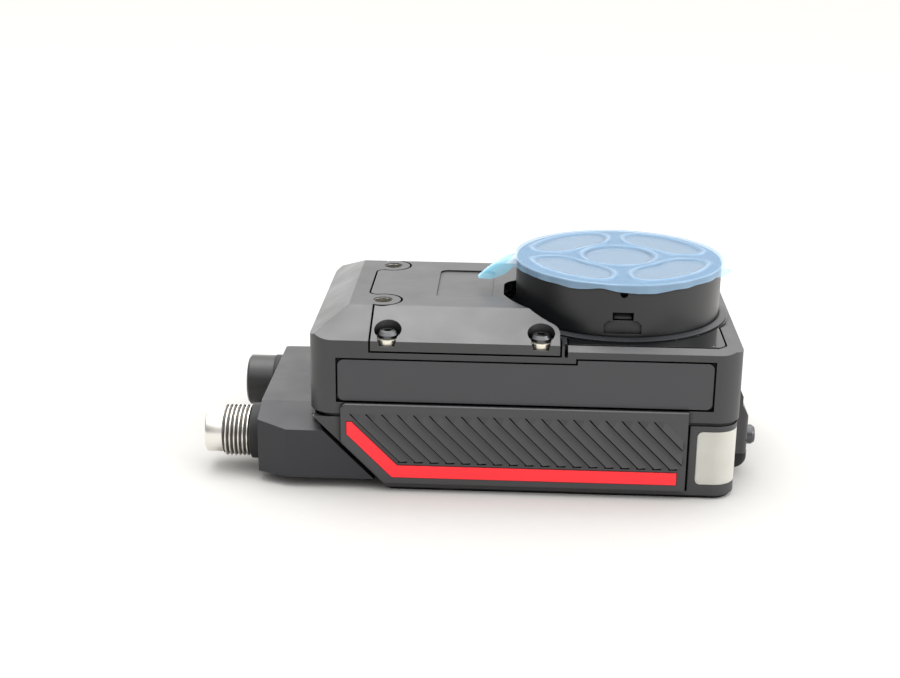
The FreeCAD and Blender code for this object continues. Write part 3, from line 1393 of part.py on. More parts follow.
def power_board():
    """Small power board on the floor of the base."""
    body = new_body("power_board")
    left = LEFT + d.power_board_left
    half = d.power_board_width / 2
    pad(body, "XY_Plane", d.mount_post_height, d.mount_post_height + d.board_thickness,
        [box(left, left + d.power_board_length, -half, half)])
    return body


def floor_spacers():
    """Hexagonal spacers that carry the power board and the sensor board on the base floor."""
    body = new_body("floor_spacers")
    reach_x = d.power_board_length / 2 - d.floor_spacer
    reach_y = d.power_board_width / 2 - d.floor_spacer
    middle = LEFT + d.power_board_left + d.power_board_length / 2
    places = [(middle + column * reach_x, side * reach_y) for column in (-1, 1) for side in (-1, 1)]
    pad(body, "XY_Plane", d.base_floor, d.mount_post_height, [hexagon(x, y, d.floor_spacer) for x, y in places])
    reach = d.sensor_board_size / 2 - d.floor_spacer
    places = [(HEAD_X + column * reach, side * reach) for column in (-1, 1) for side in (-1, 1)]
    pad(body, "XY_Plane", d.base_floor, d.sensor_board_height, [hexagon(x, y, d.floor_spacer) for x, y in places])
    return body


# ---------------------------------------------------------------- swivelling connector block

def connector_block():
    """Swivelling block with bevelled front and rear, hollow from its swivel face."""
    body = new_body("block_stock")
    end = LEFT - d.block_end
    face = LEFT + d.swivel_seam
    half = HALF - d.block_inset
    outline = [(end, d.block_bottom), (face - d.block_bottom, d.block_bottom), (face - d.block_top, d.block_top),
               (end, d.block_top)]
    pad(body, "XZ_Plane", -half, half, [outline])
    corner = [(end - BEYOND, half - d.block_corner_y), (end, half - d.block_corner_y),
              (end + d.block_corner_x, half), (end + d.block_corner_x, half + BEYOND), (end - BEYOND, half + BEYOND)]
    for side in (-1, 1):
        cut(body, "XY_Plane", d.block_bottom - BEYOND, d.block_top + BEYOND, [[(x, side * y) for x, y in corner]])
        run = d.block_bevel / (d.block_top - d.block_eave)
        slope = [(side * (half + BEYOND), d.block_eave), (side * half, d.block_eave),
                 (side * (half - run * (d.block_top + BEYOND - d.block_eave)), d.block_top + BEYOND),
                 (side * (half + BEYOND), d.block_top + BEYOND)]
        cut(body, "YZ_Plane", end - BEYOND, face + BEYOND, [slope])
    wall = d.base_wall
    hollow = [(end + wall * 2, d.block_bottom + wall), (face - d.block_bottom - wall * 2 - wall / SLOPE, d.block_bottom + wall),
              (face - d.block_top - wall / SLOPE, d.block_top - wall), (end + wall * 2, d.block_top - wall)]
    cut(body, "XZ_Plane", d.block_bevel + wall - half, half - d.block_bevel - wall, [hollow])
    cut(body, "YZ_Plane", end - BEYOND, end + wall * 2 + BEYOND,
        [(side * d.connector_y, d.connector_z, d.connector_bore + STEM_WALL + 0.02) for side in (-1, 1)])
    bore = document.addObject("Part::Cylinder", "block_bore")
    bind(bore, "Radius", d.spindle_radius)
    bind(bore, "Height", 2 * wall)
    place_on_swivel(bore, -1.5 * wall)
    return subtract("connector_block", body, [bore])


def swivel_seal():
    """Glossy seal plate on the base's slanted face."""
    body = new_body("swivel_seal")
    half_length = (d.block_top - d.block_bottom) / 2 / SLOPE - 0.5
    half_width = HALF - d.block_inset - d.block_bevel * 0.3
    pad(body, "XY_Plane", size_of(0), d.swivel_plate - 0.05, [box(-half_length, half_length, -half_width, half_width),
                                          (size_of(0), size_of(0), d.spindle_radius + d.swivel_fit)])
    place_on_swivel(body, size_of(0.05))
    return body


def swivel_spindle():
    """Hollow spindle that carries the block and its wires through the seal."""
    body = new_body("swivel_spindle")
    wall = d.base_wall
    foot = -1.5 * wall
    clip = d.swivel_plate + wall + d.swivel_fit
    top = clip + d.clip_thickness + 3 * d.swivel_fit + BEYOND
    turn(body, 0, 0, [(d.spindle_bore, foot), (d.spindle_radius, foot), (d.spindle_radius, clip),
                      (d.spindle_radius - d.spindle_groove, clip),
                      (d.spindle_radius - d.spindle_groove, clip + d.clip_thickness + d.swivel_fit),
                      (d.spindle_radius, clip + d.clip_thickness + d.swivel_fit), (d.spindle_radius, top),
                      (d.spindle_bore, top)])
    place_on_swivel(body, size_of(0))
    return body


def swivel_clip():
    """Clip that keeps the spindle in the base."""
    body = new_body("swivel_clip")
    pad(body, "XY_Plane", size_of(0), d.clip_thickness,
        [(size_of(0), size_of(0), d.spindle_radius + 2 * d.clip_thickness),
         (size_of(0), size_of(0), d.spindle_radius - d.spindle_groove)])
    place_on_swivel(body, d.swivel_plate + d.base_wall + d.swivel_fit)
    return body


def power_shell():
    """Metal shell of the power connector: thread and plain nose."""
    body = new_body("power_connector_shell")
    seat = d.seat_thickness
    thread = seat + d.thread_length
    tip = d.connector_length
    neck = d.sleeve_radius - 0.2
    turn(body, 0, 0, shell_root() + [(neck, seat), (d.thread_radius, seat), (d.thread_radius, thread - 0.5),
                                     (d.thread_radius - 0.5, thread), (d.sleeve_radius, thread),
                                     (d.sleeve_radius, tip - 0.4), (d.sleeve_radius - 0.4, tip),
                                     (d.connector_bore, tip)])
    return body


def network_shell():
    """Metal shell of the network connector: a short socket."""
    body = new_body("network_connector_shell")
    tip = d.network_length
    turn(body, 0, 0, shell_root() + [(d.sleeve_radius - 0.2, d.seat_thickness), (d.network_radius, d.seat_thickness),
                                     (d.network_radius, tip - 0.4), (d.network_radius - 0.4, tip),
                                     (d.connector_bore, tip)])
    return body


def shell_root():
    """Start of a connector shell's profile, through the block's wall."""
    neck = d.sleeve_radius - 0.2
    stem = d.connector_bore + STEM_WALL
    return [(d.connector_bore, -d.base_wall), (stem, -d.base_wall), (stem, 0), (neck, 0)]


def connector_insert(label, tip):
    """Plastic carrier of the contacts, inside its shell."""
    body = new_body(label)
    turn(body, 0, 0, [(0, -d.base_wall), (d.connector_bore, -d.base_wall), (d.connector_bore, tip), (0, tip)])
    cut(body, "XY_Plane", -d.base_wall - BEYOND, tip + BEYOND, pin_circles(size_of(0.02)))
    return body


def pin_circles(gap):
    """Plan of the four contacts, grown by a gap."""
    spots = [(1, 0), (0, 1), (-1, 0), (0, -1)]
    return [(d.pin_circle * x, d.pin_circle * y, d.pin_radius + gap) for x, y in spots]


def connector_pins(label, tip):
    """Contacts of one connector."""
    body = new_body(label)
    pad(body, "XY_Plane", -d.base_wall - BEYOND, tip, pin_circles(size_of(0)))
    return body


def connector_washer(label):
    """Black sealing washer between a connector and the block."""
    body = new_body(label)
    pad(body, "XY_Plane", size_of(0), d.seat_thickness,
        [(size_of(0), size_of(0), d.seat_radius), (size_of(0), size_of(0), d.sleeve_radius - 0.2)])
    return body


def network_cap():
    """Round cap over the network connector, closed by a slightly domed end."""
    body = new_body("network_cap")
    foot = d.seat_thickness + d.cap_fit
    bore = d.network_radius + d.cap_fit
    outer = bore + d.cap_wall
    ceiling = d.network_length + d.cap_fit
    crown = ceiling + d.cap_end
    turn(body, 0, 0, [(bore, foot), (outer, foot), (outer, crown), (outer - d.cap_wall, crown + d.cap_dome * 0.6),
                      (outer / 2, crown + d.cap_dome * 0.92), (0, crown + d.cap_dome), (0, ceiling), (bore, ceiling)])
    return body


def connectors():
    """All pieces of the two connectors, laid on their axes."""
    power_face = d.connector_length - d.socket_depth
    power = [power_shell(), connector_insert("power_connector_insert", power_face),
             connector_pins("power_connector_pins", d.connector_length - BEYOND),
             connector_washer("power_connector_washer")]
    network = [network_shell(), connector_insert("network_connector_insert", d.network_length - BEYOND),
               connector_pins("network_connector_contacts", d.network_length - 2 * BEYOND),
               connector_washer("network_connector_washer"), network_cap()]
    for piece in power:
        place_on_connector(piece, -1)
    for piece in network:
        place_on_connector(piece, 1)
    return power + network


# ---------------------------------------------------------------- build and write

def build():
    """Make every sub-part."""
    panel = side_panel()
    trim = side_trim()
    stripe = red_stripe()
    lens = indicator_lens()
    pieces = [base_housing(), upper_housing(), housing_gasket(), top_cover(), cover_screws(),
              cover_screw_washers(), mounting_inserts(), panel, mirror("side_panel_rear", panel),
              trim, mirror("side_trim_rear", trim), stripe, mirror("red_stripe_rear", stripe),
              lens, mirror("indicator_lens_rear", lens), front_bezel(), end_cover(), end_boot(),
              end_cover_screw(), base_screws(), head_shell(), head_collar(), head_face(), light_lenses(),
              camera_window(), snap_hook(), protective_film(), led_board(), led_emitters(), light_chamber(),
              sensor_board(), image_sensor(), lens_holder(), lens_barrel(), lens_glasses(), lens_lock_ring(),
              main_board(), processor(), thermal_pad(), heat_spreader(), board_spacers(), board_screws(),
              power_board(), floor_spacers(), connector_block(), swivel_seal(), swivel_spindle(), swivel_clip()]
    return pieces + connectors()


def write(pieces):
    """Check the document, then write one file for each sub-part."""
    document.recompute()
    for thing in document.Objects:
        if "Invalid" in thing.State or "Error" in thing.State:
            raise RuntimeError(f"{thing.Name} ({thing.Label}) is in state {thing.State}")
    for piece in pieces:
        if piece.Shape.isNull() or not piece.Shape.isValid():
            raise RuntimeError(f"{piece.Label} has no valid shape")
    os.makedirs("parts", exist_ok=True)
    for piece in pieces:
        piece.Shape.exportStep(os.path.join("parts", piece.Label + ".step"))


write(build())
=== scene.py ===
"""Machine vision camera with a ring light: finishes, protective film, connector thread, floor and light."""

import math

import bmesh
import bpy
from mathutils import Matrix, Vector, noise


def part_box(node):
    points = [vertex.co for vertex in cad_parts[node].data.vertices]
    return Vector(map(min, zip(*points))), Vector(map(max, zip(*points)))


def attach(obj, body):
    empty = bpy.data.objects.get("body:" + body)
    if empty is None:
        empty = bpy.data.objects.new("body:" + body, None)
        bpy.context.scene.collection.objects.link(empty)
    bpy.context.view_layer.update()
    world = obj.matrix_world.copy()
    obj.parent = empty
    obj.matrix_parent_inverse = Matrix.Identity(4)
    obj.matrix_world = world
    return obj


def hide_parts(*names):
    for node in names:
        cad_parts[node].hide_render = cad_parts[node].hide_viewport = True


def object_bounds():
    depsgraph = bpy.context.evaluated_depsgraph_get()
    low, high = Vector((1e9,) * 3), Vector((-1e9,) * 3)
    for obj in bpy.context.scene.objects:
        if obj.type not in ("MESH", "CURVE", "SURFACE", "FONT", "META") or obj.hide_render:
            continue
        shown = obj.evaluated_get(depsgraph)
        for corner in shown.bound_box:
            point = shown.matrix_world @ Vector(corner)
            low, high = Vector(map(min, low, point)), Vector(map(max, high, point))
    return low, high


MM = 0.001

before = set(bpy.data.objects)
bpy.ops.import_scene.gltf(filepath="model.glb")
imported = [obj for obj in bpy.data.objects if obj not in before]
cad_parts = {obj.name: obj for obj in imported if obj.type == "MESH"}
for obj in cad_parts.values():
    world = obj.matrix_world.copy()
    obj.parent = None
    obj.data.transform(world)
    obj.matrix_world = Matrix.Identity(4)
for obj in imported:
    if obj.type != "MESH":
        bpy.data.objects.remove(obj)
cad_low, cad_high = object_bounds()


# ---------------------------------------------------------------- places taken from the frame

def middle(node):
    """Centre of a CAD node's box."""
    low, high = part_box(node)
    return (low + high) / 2


head = middle("head_shell")
head_low, head_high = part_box("head_shell")
head_radius = (head_high.x - head_low.x) / 2
film_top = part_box("protective_film")[1].z
lobe_recess = film_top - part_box("light_lenses")[1].z
window_recess = film_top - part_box("camera_window")[1].z
power_axis = middle("power_connector_shell")
power_low, power_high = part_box("power_connector_shell")
washer_low, washer_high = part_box("power_connector_washer")

# The power connector's thread, in millimetres. Its metal follows these radii too.
THREAD_CREST = 6.0
THREAD_ROOT = 5.45
THREAD_PITCH = 1.0
THREAD_LENGTH = 6.7


# ---------------------------------------------------------------- materials

EDGE_SAMPLES = 6
# Painted shade in seams and crevices: how far the occlusion test looks, and where its darkening starts and
# stops.
CREVICE_SAMPLES = 4
CREVICE_REACH = 1.3
CREVICE_SHUT, CREVICE_OPEN = 0.35, 0.9
CREVICE_PAINTED_SHADE = "#020203"
NOISE_LOW, NOISE_HIGH = 0.3, 0.7
DUST_SPACING = 1.3
DUST_RADIUS = 0.09
DUST_FREE = 0.72
DUST_ROUGHNESS = 0.8
DUST_COLOUR = "#b4b6b8"
# The film's tint and painted light, stored on its points under this name.
FILM_TINT_AND_PAINTED_LIGHT = "film_tint_and_painted_light"
FILM_COVER = 0.72
FREE_FILM_COVER = 0.55


def linear(hex_colour):
    """An sRGB hex value as a linear colour with full opacity."""
    channels = [int(hex_colour[i:i + 2], 16) / 255 for i in (1, 3, 5)]
    return [c / 12.92 if c <= 0.04045 else ((c + 0.055) / 1.055) ** 2.4 for c in channels] + [1.0]


def add(tree, kind, inputs=None, **settings):
    """Add a node with its settings, and set or link its inputs."""
    item = tree.nodes.new(kind)
    for name, value in settings.items():
        setattr(item, name, value)
    for name, value in (inputs or {}).items():
        if isinstance(value, bpy.types.NodeSocket):
            tree.links.new(value, item.inputs[name])
        else:
            item.inputs[name].default_value = value
    return item


def new_material(name, colour, roughness, metallic=0.0, ior=1.5):
    """A material with its shader's plain numbers set, ready for its pattern."""
    material = bpy.data.materials.new(name)
    material.use_nodes = True
    shader = material.node_tree.nodes["Principled BSDF"]
    shader.inputs["Base Color"].default_value = linear(colour)
    shader.inputs["Roughness"].default_value = roughness
    shader.inputs["Metallic"].default_value = metallic
    shader.inputs["IOR"].default_value = ior
    return material, material.node_tree, shader


def own_place(tree):
    """Place on the object itself, in metres."""
    return add(tree, "ShaderNodeTexCoord").outputs["Object"]


def grain(tree, size, detail=2.0):
    """Noise with lumps of a size in millimetres."""
    inputs = {"Vector": own_place(tree), "Scale": 1 / (size * MM), "Detail": detail}
    return add(tree, "ShaderNodeTexNoise", inputs).outputs["Fac"]


def blend(tree, factor, first, second):
    """One of two colours by a factor. Each is a hex value or a socket."""
    first, second = (linear(colour) if isinstance(colour, str) else colour for colour in (first, second))
    mix = add(tree, "ShaderNodeMix", {"Factor": factor, "A": first, "B": second}, data_type="RGBA")
    return mix.outputs["Result"]


def spread(tree, value, low, high, to_low, to_high, **settings):
    """A value moved from one range to another and held inside it."""
    inputs = {"Value": value, "From Min": low, "From Max": high, "To Min": to_low, "To Max": to_high}
    return add(tree, "ShaderNodeMapRange", inputs, **settings).outputs["Result"]


def calculate(tree, operation, first, second):
    """The sum, the product or a comparison of two values."""
    return add(tree, "ShaderNodeMath", {0: first, 1: second}, operation=operation).outputs[0]


def soften(tree, shader, edge, height=None, relief=0.0):
    """Round the sharp edges in the shading, and add a fine relief on top, both in millimetres."""
    normal = add(tree, "ShaderNodeBevel", {"Radius": edge * MM}, samples=EDGE_SAMPLES).outputs["Normal"]
    if height is not None:
        bump = add(tree, "ShaderNodeBump", {"Height": height, "Distance": relief * MM, "Normal": normal})
        normal = bump.outputs["Normal"]
    tree.links.new(normal, shader.inputs["Normal"])


def crevices(tree, reach):
    """How open the surface is within a reach in millimetres: 0 in a tight seam, 1 in the open."""
    nearby = add(tree, "ShaderNodeAmbientOcclusion", {"Distance": reach * MM}, samples=CREVICE_SAMPLES)
    return spread(tree, nearby.outputs["AO"], CREVICE_SHUT, CREVICE_OPEN, 0.0, 1.0)


def moulded_plastic(name, dark, light, roughness, edge, specular=0.5, lump=0.3, relief=0.006,
                    reach=CREVICE_REACH):
    """Moulded plastic: its grain breaks the highlights, wear leaves it uneven, and painted shade darkens its
    seams.
    """
    material, tree, shader = new_material(name, dark, roughness, ior=1.52)
    shader.inputs["Specular IOR Level"].default_value = specular
    cloud = grain(tree, size=9.0, detail=4.0)
    openness = crevices(tree, reach)
    # Painted shade: the colour turns near black and the reflection fades where the surface is closed in.
    shade = blend(tree, openness, CREVICE_PAINTED_SHADE, blend(tree, cloud, dark, light))
    tree.links.new(shade, shader.inputs["Base Color"])
    tree.links.new(spread(tree, openness, 0.0, 1.0, 0.0, specular), shader.inputs["Specular IOR Level"])
    rough = spread(tree, cloud, NOISE_LOW, NOISE_HIGH, roughness - 0.05, roughness + 0.06)
    tree.links.new(rough, shader.inputs["Roughness"])
    soften(tree, shader, edge, grain(tree, lump, detail=3.0), relief)
    return material


def dusty_gloss(name, colour, roughness):
    """Polished black acrylic: mirror-like, with specks of dust that catch the light."""
    material, tree, shader = new_material(name, colour, roughness, ior=1.49)
    cells = add(tree, "ShaderNodeTexVoronoi", {"Vector": own_place(tree), "Scale": 1 / (DUST_SPACING * MM)})
    chance = add(tree, "ShaderNodeSeparateColor", {"Color": cells.outputs["Color"]}).outputs["Red"]
    chosen = calculate(tree, "GREATER_THAN", chance, DUST_FREE)
    near = calculate(tree, "LESS_THAN", cells.outputs["Distance"], DUST_RADIUS)
    speck = calculate(tree, "MULTIPLY", chosen, near)
    tree.links.new(blend(tree, speck, colour, DUST_COLOUR), shader.inputs["Base Color"])
    tree.links.new(spread(tree, speck, 0.0, 1.0, roughness, DUST_ROUGHNESS), shader.inputs["Roughness"])
    soften(tree, shader, edge=0.15)
    return material


def turned_metal(name, colour, roughness):
    """Turned or plated metal with fine tool marks."""
    material, tree, shader = new_material(name, colour, roughness, metallic=1.0)
    marks = grain(tree, size=0.24)
    rough = spread(tree, marks, NOISE_LOW, NOISE_HIGH, roughness - 0.06, roughness + 0.08)
    tree.links.new(rough, shader.inputs["Roughness"])
    soften(tree, shader, edge=0.08, height=marks, relief=0.004)
    return material


def threaded_metal(name, dark, light, roughness):
    """Plated thread: painted shade darkens and dulls its grooves, and its crests and its plain nose keep the
    bright plated colour.
    """
    material, tree, shader = new_material(name, light, roughness, metallic=1.0)
    place = own_place(tree)
    centre = (0.0, power_axis.y, power_axis.z)
    away = add(tree, "ShaderNodeVectorMath", {0: place, 1: centre}, operation="SUBTRACT")
    across = add(tree, "ShaderNodeVectorMath", {0: away.outputs[0], 1: (0.0, 1.0, 1.0)}, operation="MULTIPLY")
    radius = add(tree, "ShaderNodeVectorMath", {0: across.outputs[0]}, operation="LENGTH").outputs["Value"]
    along = add(tree, "ShaderNodeSeparateXYZ", {"Vector": place}).outputs["X"]
    nose = calculate(tree, "LESS_THAN", along, washer_low.x - THREAD_LENGTH * MM)
    groove = spread(tree, radius, THREAD_ROOT * MM, THREAD_CREST * MM, 0.0, 1.0)
    height = spread(tree, nose, 0.0, 1.0, groove, 1.0)
    # Painted shade: the colour darkens from the crests into the grooves.
    tree.links.new(blend(tree, height, dark, light), shader.inputs["Base Color"])
    tree.links.new(spread(tree, height, 0.0, 1.0, roughness + 0.25, roughness), shader.inputs["Roughness"])
    return material


def rubber(name, colour, roughness):
    """Moulded rubber: dull, with a faint bloom."""
    material, tree, shader = new_material(name, colour, roughness, ior=1.5)
    shader.inputs["Specular IOR Level"].default_value = 0.35
    bloom = grain(tree, size=3.0, detail=3.0)
    tree.links.new(blend(tree, bloom, colour, "#2b2b2c"), shader.inputs["Base Color"])
    soften(tree, shader, edge=0.2, height=bloom, relief=0.01)
    return material


def opal_polycarbonate(name):
    """Opal polycarbonate lens: light scatters inside it, so its edges look brighter."""
    material, tree, shader = new_material(name, "#b4b3ab", roughness=0.38, ior=1.58)
    shader.inputs["Subsurface Weight"].default_value = 0.35
    shader.inputs["Subsurface Scale"].default_value = 2.0 * MM
    shader.inputs["Subsurface Radius"].default_value = (1.0, 1.0, 0.9)
    cloud = grain(tree, size=5.0)
    tree.links.new(blend(tree, cloud, "#aeada5", "#bcbbb4"), shader.inputs["Base Color"])
    soften(tree, shader, edge=0.35, height=cloud, relief=0.01)
    return material


def clear_glass(name, tint):
    """Polished optical glass with a faint tint."""
    material, tree, shader = new_material(name, tint, roughness=0.02, ior=1.52)
    shader.inputs["Transmission Weight"].default_value = 0.9
    soften(tree, shader, edge=0.1)
    return material


def blue_polyethylene(name):
    """Blue polyethylene film: thin, see-through and softly glossy, with a painted highlight along its crests
    and painted light on its hanging edge.
    """
    material, tree, shader = new_material(name, "#6389b4", roughness=0.24, ior=1.51)
    shader.inputs["Alpha"].default_value = FILM_COVER
    shader.inputs["Specular IOR Level"].default_value = 0.6
    shade = blend(tree, grain(tree, size=7.0, detail=3.0), "#4c7699", "#5b84a4")
    tint_and_painted_light = add(tree, "ShaderNodeAttribute", attribute_name=FILM_TINT_AND_PAINTED_LIGHT).outputs
    dull, pale, outline = add(tree, "ShaderNodeSeparateColor", {"Color": tint_and_painted_light["Color"]}).outputs
    free = tint_and_painted_light["Alpha"]
    # The pale tint is a painted highlight on the crests and painted light on the hanging edge. The free edge
    # is painted pale cyan and made clearer, standing in for the bright floor seen through it.
    for share, tint in ((dull, "#6a7c8c"), (pale, "#cfe4f4"), (outline, "#3d4149"), (free, "#7fcbe8")):
        shade = blend(tree, share, shade, tint)
    tree.links.new(shade, shader.inputs["Base Color"])
    tree.links.new(spread(tree, free, 0.0, 1.0, FILM_COVER, FREE_FILM_COVER), shader.inputs["Alpha"])
    wrinkle = grain(tree, size=2.5, detail=3.0)
    bump = add(tree, "ShaderNodeBump", {"Height": wrinkle, "Distance": 0.04 * MM})
    tree.links.new(bump.outputs["Normal"], shader.inputs["Normal"])
    return material


def solder_mask(name):
    """Circuit board: green solder mask over glass fibre weave."""
    material, tree, shader = new_material(name, "#0f4a2a", roughness=0.3, ior=1.5)
    weave = grain(tree, size=0.6, detail=1.0)
    tree.links.new(blend(tree, weave, "#0c3f24", "#145a33"), shader.inputs["Base Color"])
    soften(tree, shader, edge=0.05, height=weave, relief=0.01)
    return material


SPARK_ERODED = {"roughness": 0.44, "lump": 0.22, "relief": 0.012}

housing_nylon = moulded_plastic("glass_filled_nylon_black", "#131417", "#191a1d", edge=0.2, specular=0.82,
                                **SPARK_ERODED)
cover_nylon = moulded_plastic("glass_filled_nylon_cover", "#151618", "#1b1c1f", edge=0.18, specular=0.9,
                              **SPARK_ERODED)
block_nylon = moulded_plastic("glass_filled_nylon_block", "#212226", "#27282c", edge=0.2, specular=0.42,
                              **SPARK_ERODED)
panel_abs = moulded_plastic("abs_panel_smooth", "#1e1f24", "#23242a", roughness=0.4, edge=0.12, specular=0.8)
# The trim's long reach spreads the painted shade over its ribs.
trim_abs = moulded_plastic("abs_trim_black", "#17181c", "#1d1e22", roughness=0.36, edge=0.05, specular=0.9,
                           lump=0.25, relief=0.008, reach=2.6)
head_nylon = moulded_plastic("nylon_head_black", "#0f1013", "#131417", roughness=0.34, edge=0.2,
                             specular=0.6, relief=0.008)
collar_pbt = moulded_plastic("pbt_collar_grey", "#1e2024", "#24262a", roughness=0.4, edge=0.2, specular=0.45)
inner_nylon = moulded_plastic("nylon_inner_black", "#0b0b0c", "#0f0f10", roughness=0.5, edge=0.1,
                              specular=0.4)
stripe_abs = moulded_plastic("abs_stripe_red", "#f01e2c", "#f4262f", roughness=0.42, edge=0.1)
cap_polyethylene = moulded_plastic("polyethylene_cap_black", "#101011", "#151516", roughness=0.36, edge=0.3,
                                   lump=0.4)
emitter_resin = moulded_plastic("white_led_resin", "#dedcd2", "#e8e6dc", roughness=0.4, edge=0.05,
                                lump=0.4, relief=0.004)
bezel_acrylic = dusty_gloss("acrylic_bezel_black", "#0c0d0f", roughness=0.12)
seal_rubber = rubber("epdm_rubber_black", "#151516", roughness=0.6)
gloss_seal = rubber("silicone_seal_black", "#08080a", roughness=0.18)
opal_lens = opal_polycarbonate("opal_polycarbonate")
window_glass = clear_glass("optical_glass", "#f0f4f6")
film_blue = blue_polyethylene("polyethylene_film_blue")
black_steel = turned_metal("black_oxide_steel", "#57585a", roughness=0.24)
bright_steel = turned_metal("zinc_plated_steel", "#f0eadb", roughness=0.34)
nickel_brass = turned_metal("nickel_plated_brass", "#dedcd4", roughness=0.24)
# The thread's dark colour is the painted shade of its grooves.
nickel_thread = threaded_metal("nickel_plated_thread", "#5a5955", "#ebe8e2", roughness=0.26)
gold_brass = turned_metal("gold_plated_brass", "#d9ad5a", roughness=0.25)
black_aluminium = turned_metal("anodised_aluminium_black", "#161617", roughness=0.4)
milled_aluminium = turned_metal("milled_aluminium", "#b8b9ba", roughness=0.35)
board_green = solder_mask("solder_mask_green")

FINISHES = (
    (housing_nylon, "base_housing upper_housing end_cover"),
    (cover_nylon, "top_cover"),
    (block_nylon, "connector_block"),
    (head_nylon, "head_shell head_face"),
    (collar_pbt, "head_collar snap_hook"),
    (inner_nylon, "light_chamber lens_holder processor image_sensor"),
    (inner_nylon, "power_connector_insert network_connector_insert"),
    (panel_abs, "side_panel_front side_panel_rear"),
    (trim_abs, "side_trim_front side_trim_rear"),
    (stripe_abs, "red_stripe_front red_stripe_rear"),
    (cap_polyethylene, "network_cap"),
    (emitter_resin, "led_emitters"),
    (bezel_acrylic, "front_bezel"),
    (seal_rubber, "housing_gasket end_boot power_connector_washer network_connector_washer thermal_pad"),
    (gloss_seal, "swivel_seal"),
    (opal_lens, "indicator_lens_front indicator_lens_rear"),
    (window_glass, "camera_window light_lenses lens_glasses"),
    (film_blue, "protective_film"),
    (black_steel, "cover_screws end_cover_screw base_screws board_screws"),
    (bright_steel, "cover_screw_washers board_spacers floor_spacers swivel_clip swivel_spindle"),
    (nickel_brass, "mounting_inserts power_connector_shell network_connector_shell"),
    (gold_brass, "power_connector_pins network_connector_contacts"),
    (black_aluminium, "lens_barrel lens_lock_ring"),
    (milled_aluminium, "heat_spreader"),
    (board_green, "led_board sensor_board main_board power_board"),
)
finish_of = {node: material for material, nodes in FINISHES for node in nodes.split()}
for node_name, node_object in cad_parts.items():
    node_object.data.materials.clear()
    node_object.data.materials.append(finish_of[node_name])


# ---------------------------------------------------------------- new pieces

def finish_piece(name, form, material, body, smooth_angle):
    """Turn a bmesh into a piece that rides on a body and takes a material."""
    bmesh.ops.recalc_face_normals(form, faces=form.faces)
    mesh = bpy.data.meshes.new(name)
    form.to_mesh(mesh)
    form.free()
    mesh.materials.append(material)
    mesh.shade_smooth()
    mesh.set_sharp_from_angle(angle=math.radians(smooth_angle))
    piece = bpy.data.objects.new(name, mesh)
    bpy.context.scene.collection.objects.link(piece)
    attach(piece, body)
    return piece


def spin_line(points, centre, axis, steps, weld):
    """Spin a line of points once round an axis into a closed round form."""
    form = bmesh.new()
    line = [form.verts.new(point) for point in points]
    edges = [form.edges.new(pair) for pair in zip(line, line[1:])]
    bmesh.ops.spin(form, geom=line + edges, cent=centre, axis=axis, angle=math.tau, steps=steps,
                   use_merge=True)
    bmesh.ops.remove_doubles(form, verts=form.verts, dist=weld)
    return form


def smooth_step(start, end, value):
    """0 at the start, 1 at the end, and a smooth way between them."""
    share = min(max((value - start) / (end - start), 0.0), 1.0)
    return share * share * (3 - 2 * share)


def hump(value, centre, width):
    """A bell that is 1 at its centre."""
    return math.exp(-((value - centre) / width) ** 2)


# The film's relief, in millimetres from the head's axis and from the windows' edges.
WINDOW_RADIUS = 7.9
LOBE_INNER = 11.2
LOBE_OUTER = 20.6
LOBE_GAP = 2.5
LOBE_CORNER = 4.2
GLASS_CLEARANCE = 0.12
LOBE_DIP = min(0.55, lobe_recess / MM - GLASS_CLEARANCE)
WINDOW_DIP = min(0.45, window_recess / MM - GLASS_CLEARANCE)
DIP_START = 0.4
LOBE_DIP_END = -1.6
WINDOW_DIP_END = -1.2
CREST_HEIGHT = 0.24
CREST_WIDTH = 0.55
LOBE_CREST = 0.9
WINDOW_CREST = 1.1
WAVE_HEIGHT = 0.05
WAVE_RATE = 0.16
RIM_INSET = 0.3
FILM_SINK = 0.02
FLAT_STEPS = 62
SKIRT_STEPS = 14
FILM_TURN_STEPS = 360

# The film's tint and painted light: shares from 0 to 1, places in millimetres from the windows' edges. The
# pale crest is a painted highlight, and the hanging share paints the film past the head lighter.
DULL_SHARE = 0.5
LOBE_DULL = -1.5
WINDOW_DULL = -1.2
PALE_SHARE = 0.3
PALE_WIDTH = 0.4
LOBE_PALE = 0.85
WINDOW_PALE = 0.95
OUTLINE_SHARE = 0.8
OUTLINE_WIDTH = 0.22
LOBE_OUTLINE = -0.25
WINDOW_OUTLINE = -0.2
HANGING_SHARE = 0.25
HANGING_START, HANGING_END = -0.1, 0.4
FREE_START, FREE_END = 0.9, 1.8
UNEVEN_RATE = 0.2

# The film's edge past the head: angles in degrees from +X, lengths in millimetres.
FRONT_ANGLE = -90
FRONT_END = 105
FRONT_FULL = 62
BACK_LENGTH = 0.5
FRONT_LENGTH = 1.15
EDGE_WAVES = ((-78, 15, 0.55), (-101, 6, -0.5), (-118, 7, 0.2))
RAGGED_LENGTH = 0.12
RAGGED_RATE = 0.12
BACK_HANG = 0.25
FRONT_HANG = 0.75
LIFT_ANGLE, LIFT_WIDTH, LIFT = -96, 6, 0.12
POINT_ANGLE, POINT_WIDTH, POINT_LENGTH, POINT_FLAT = -17, 10, 1.9, 0.8
TAB_ANGLE, TAB_WIDTH, TAB_LENGTH, TAB_HANG = 183, 4.6, 8.4, 0.05
TAB_ROOT_ANGLE, TAB_ROOT_WIDTH, TAB_ROOT = 181, 14, 0.14
TAB_DROP, TAB_CURVE = 4.6, 1.9
FULL_FALL = 0.94 * math.pi / 2
STAND_OFF = 0.45
CREASE, CREASE_RATE = 0.22, 0.31
FOLD_ANGLE, FOLD_WIDTH, FOLD = -84, 2.5, 0.25


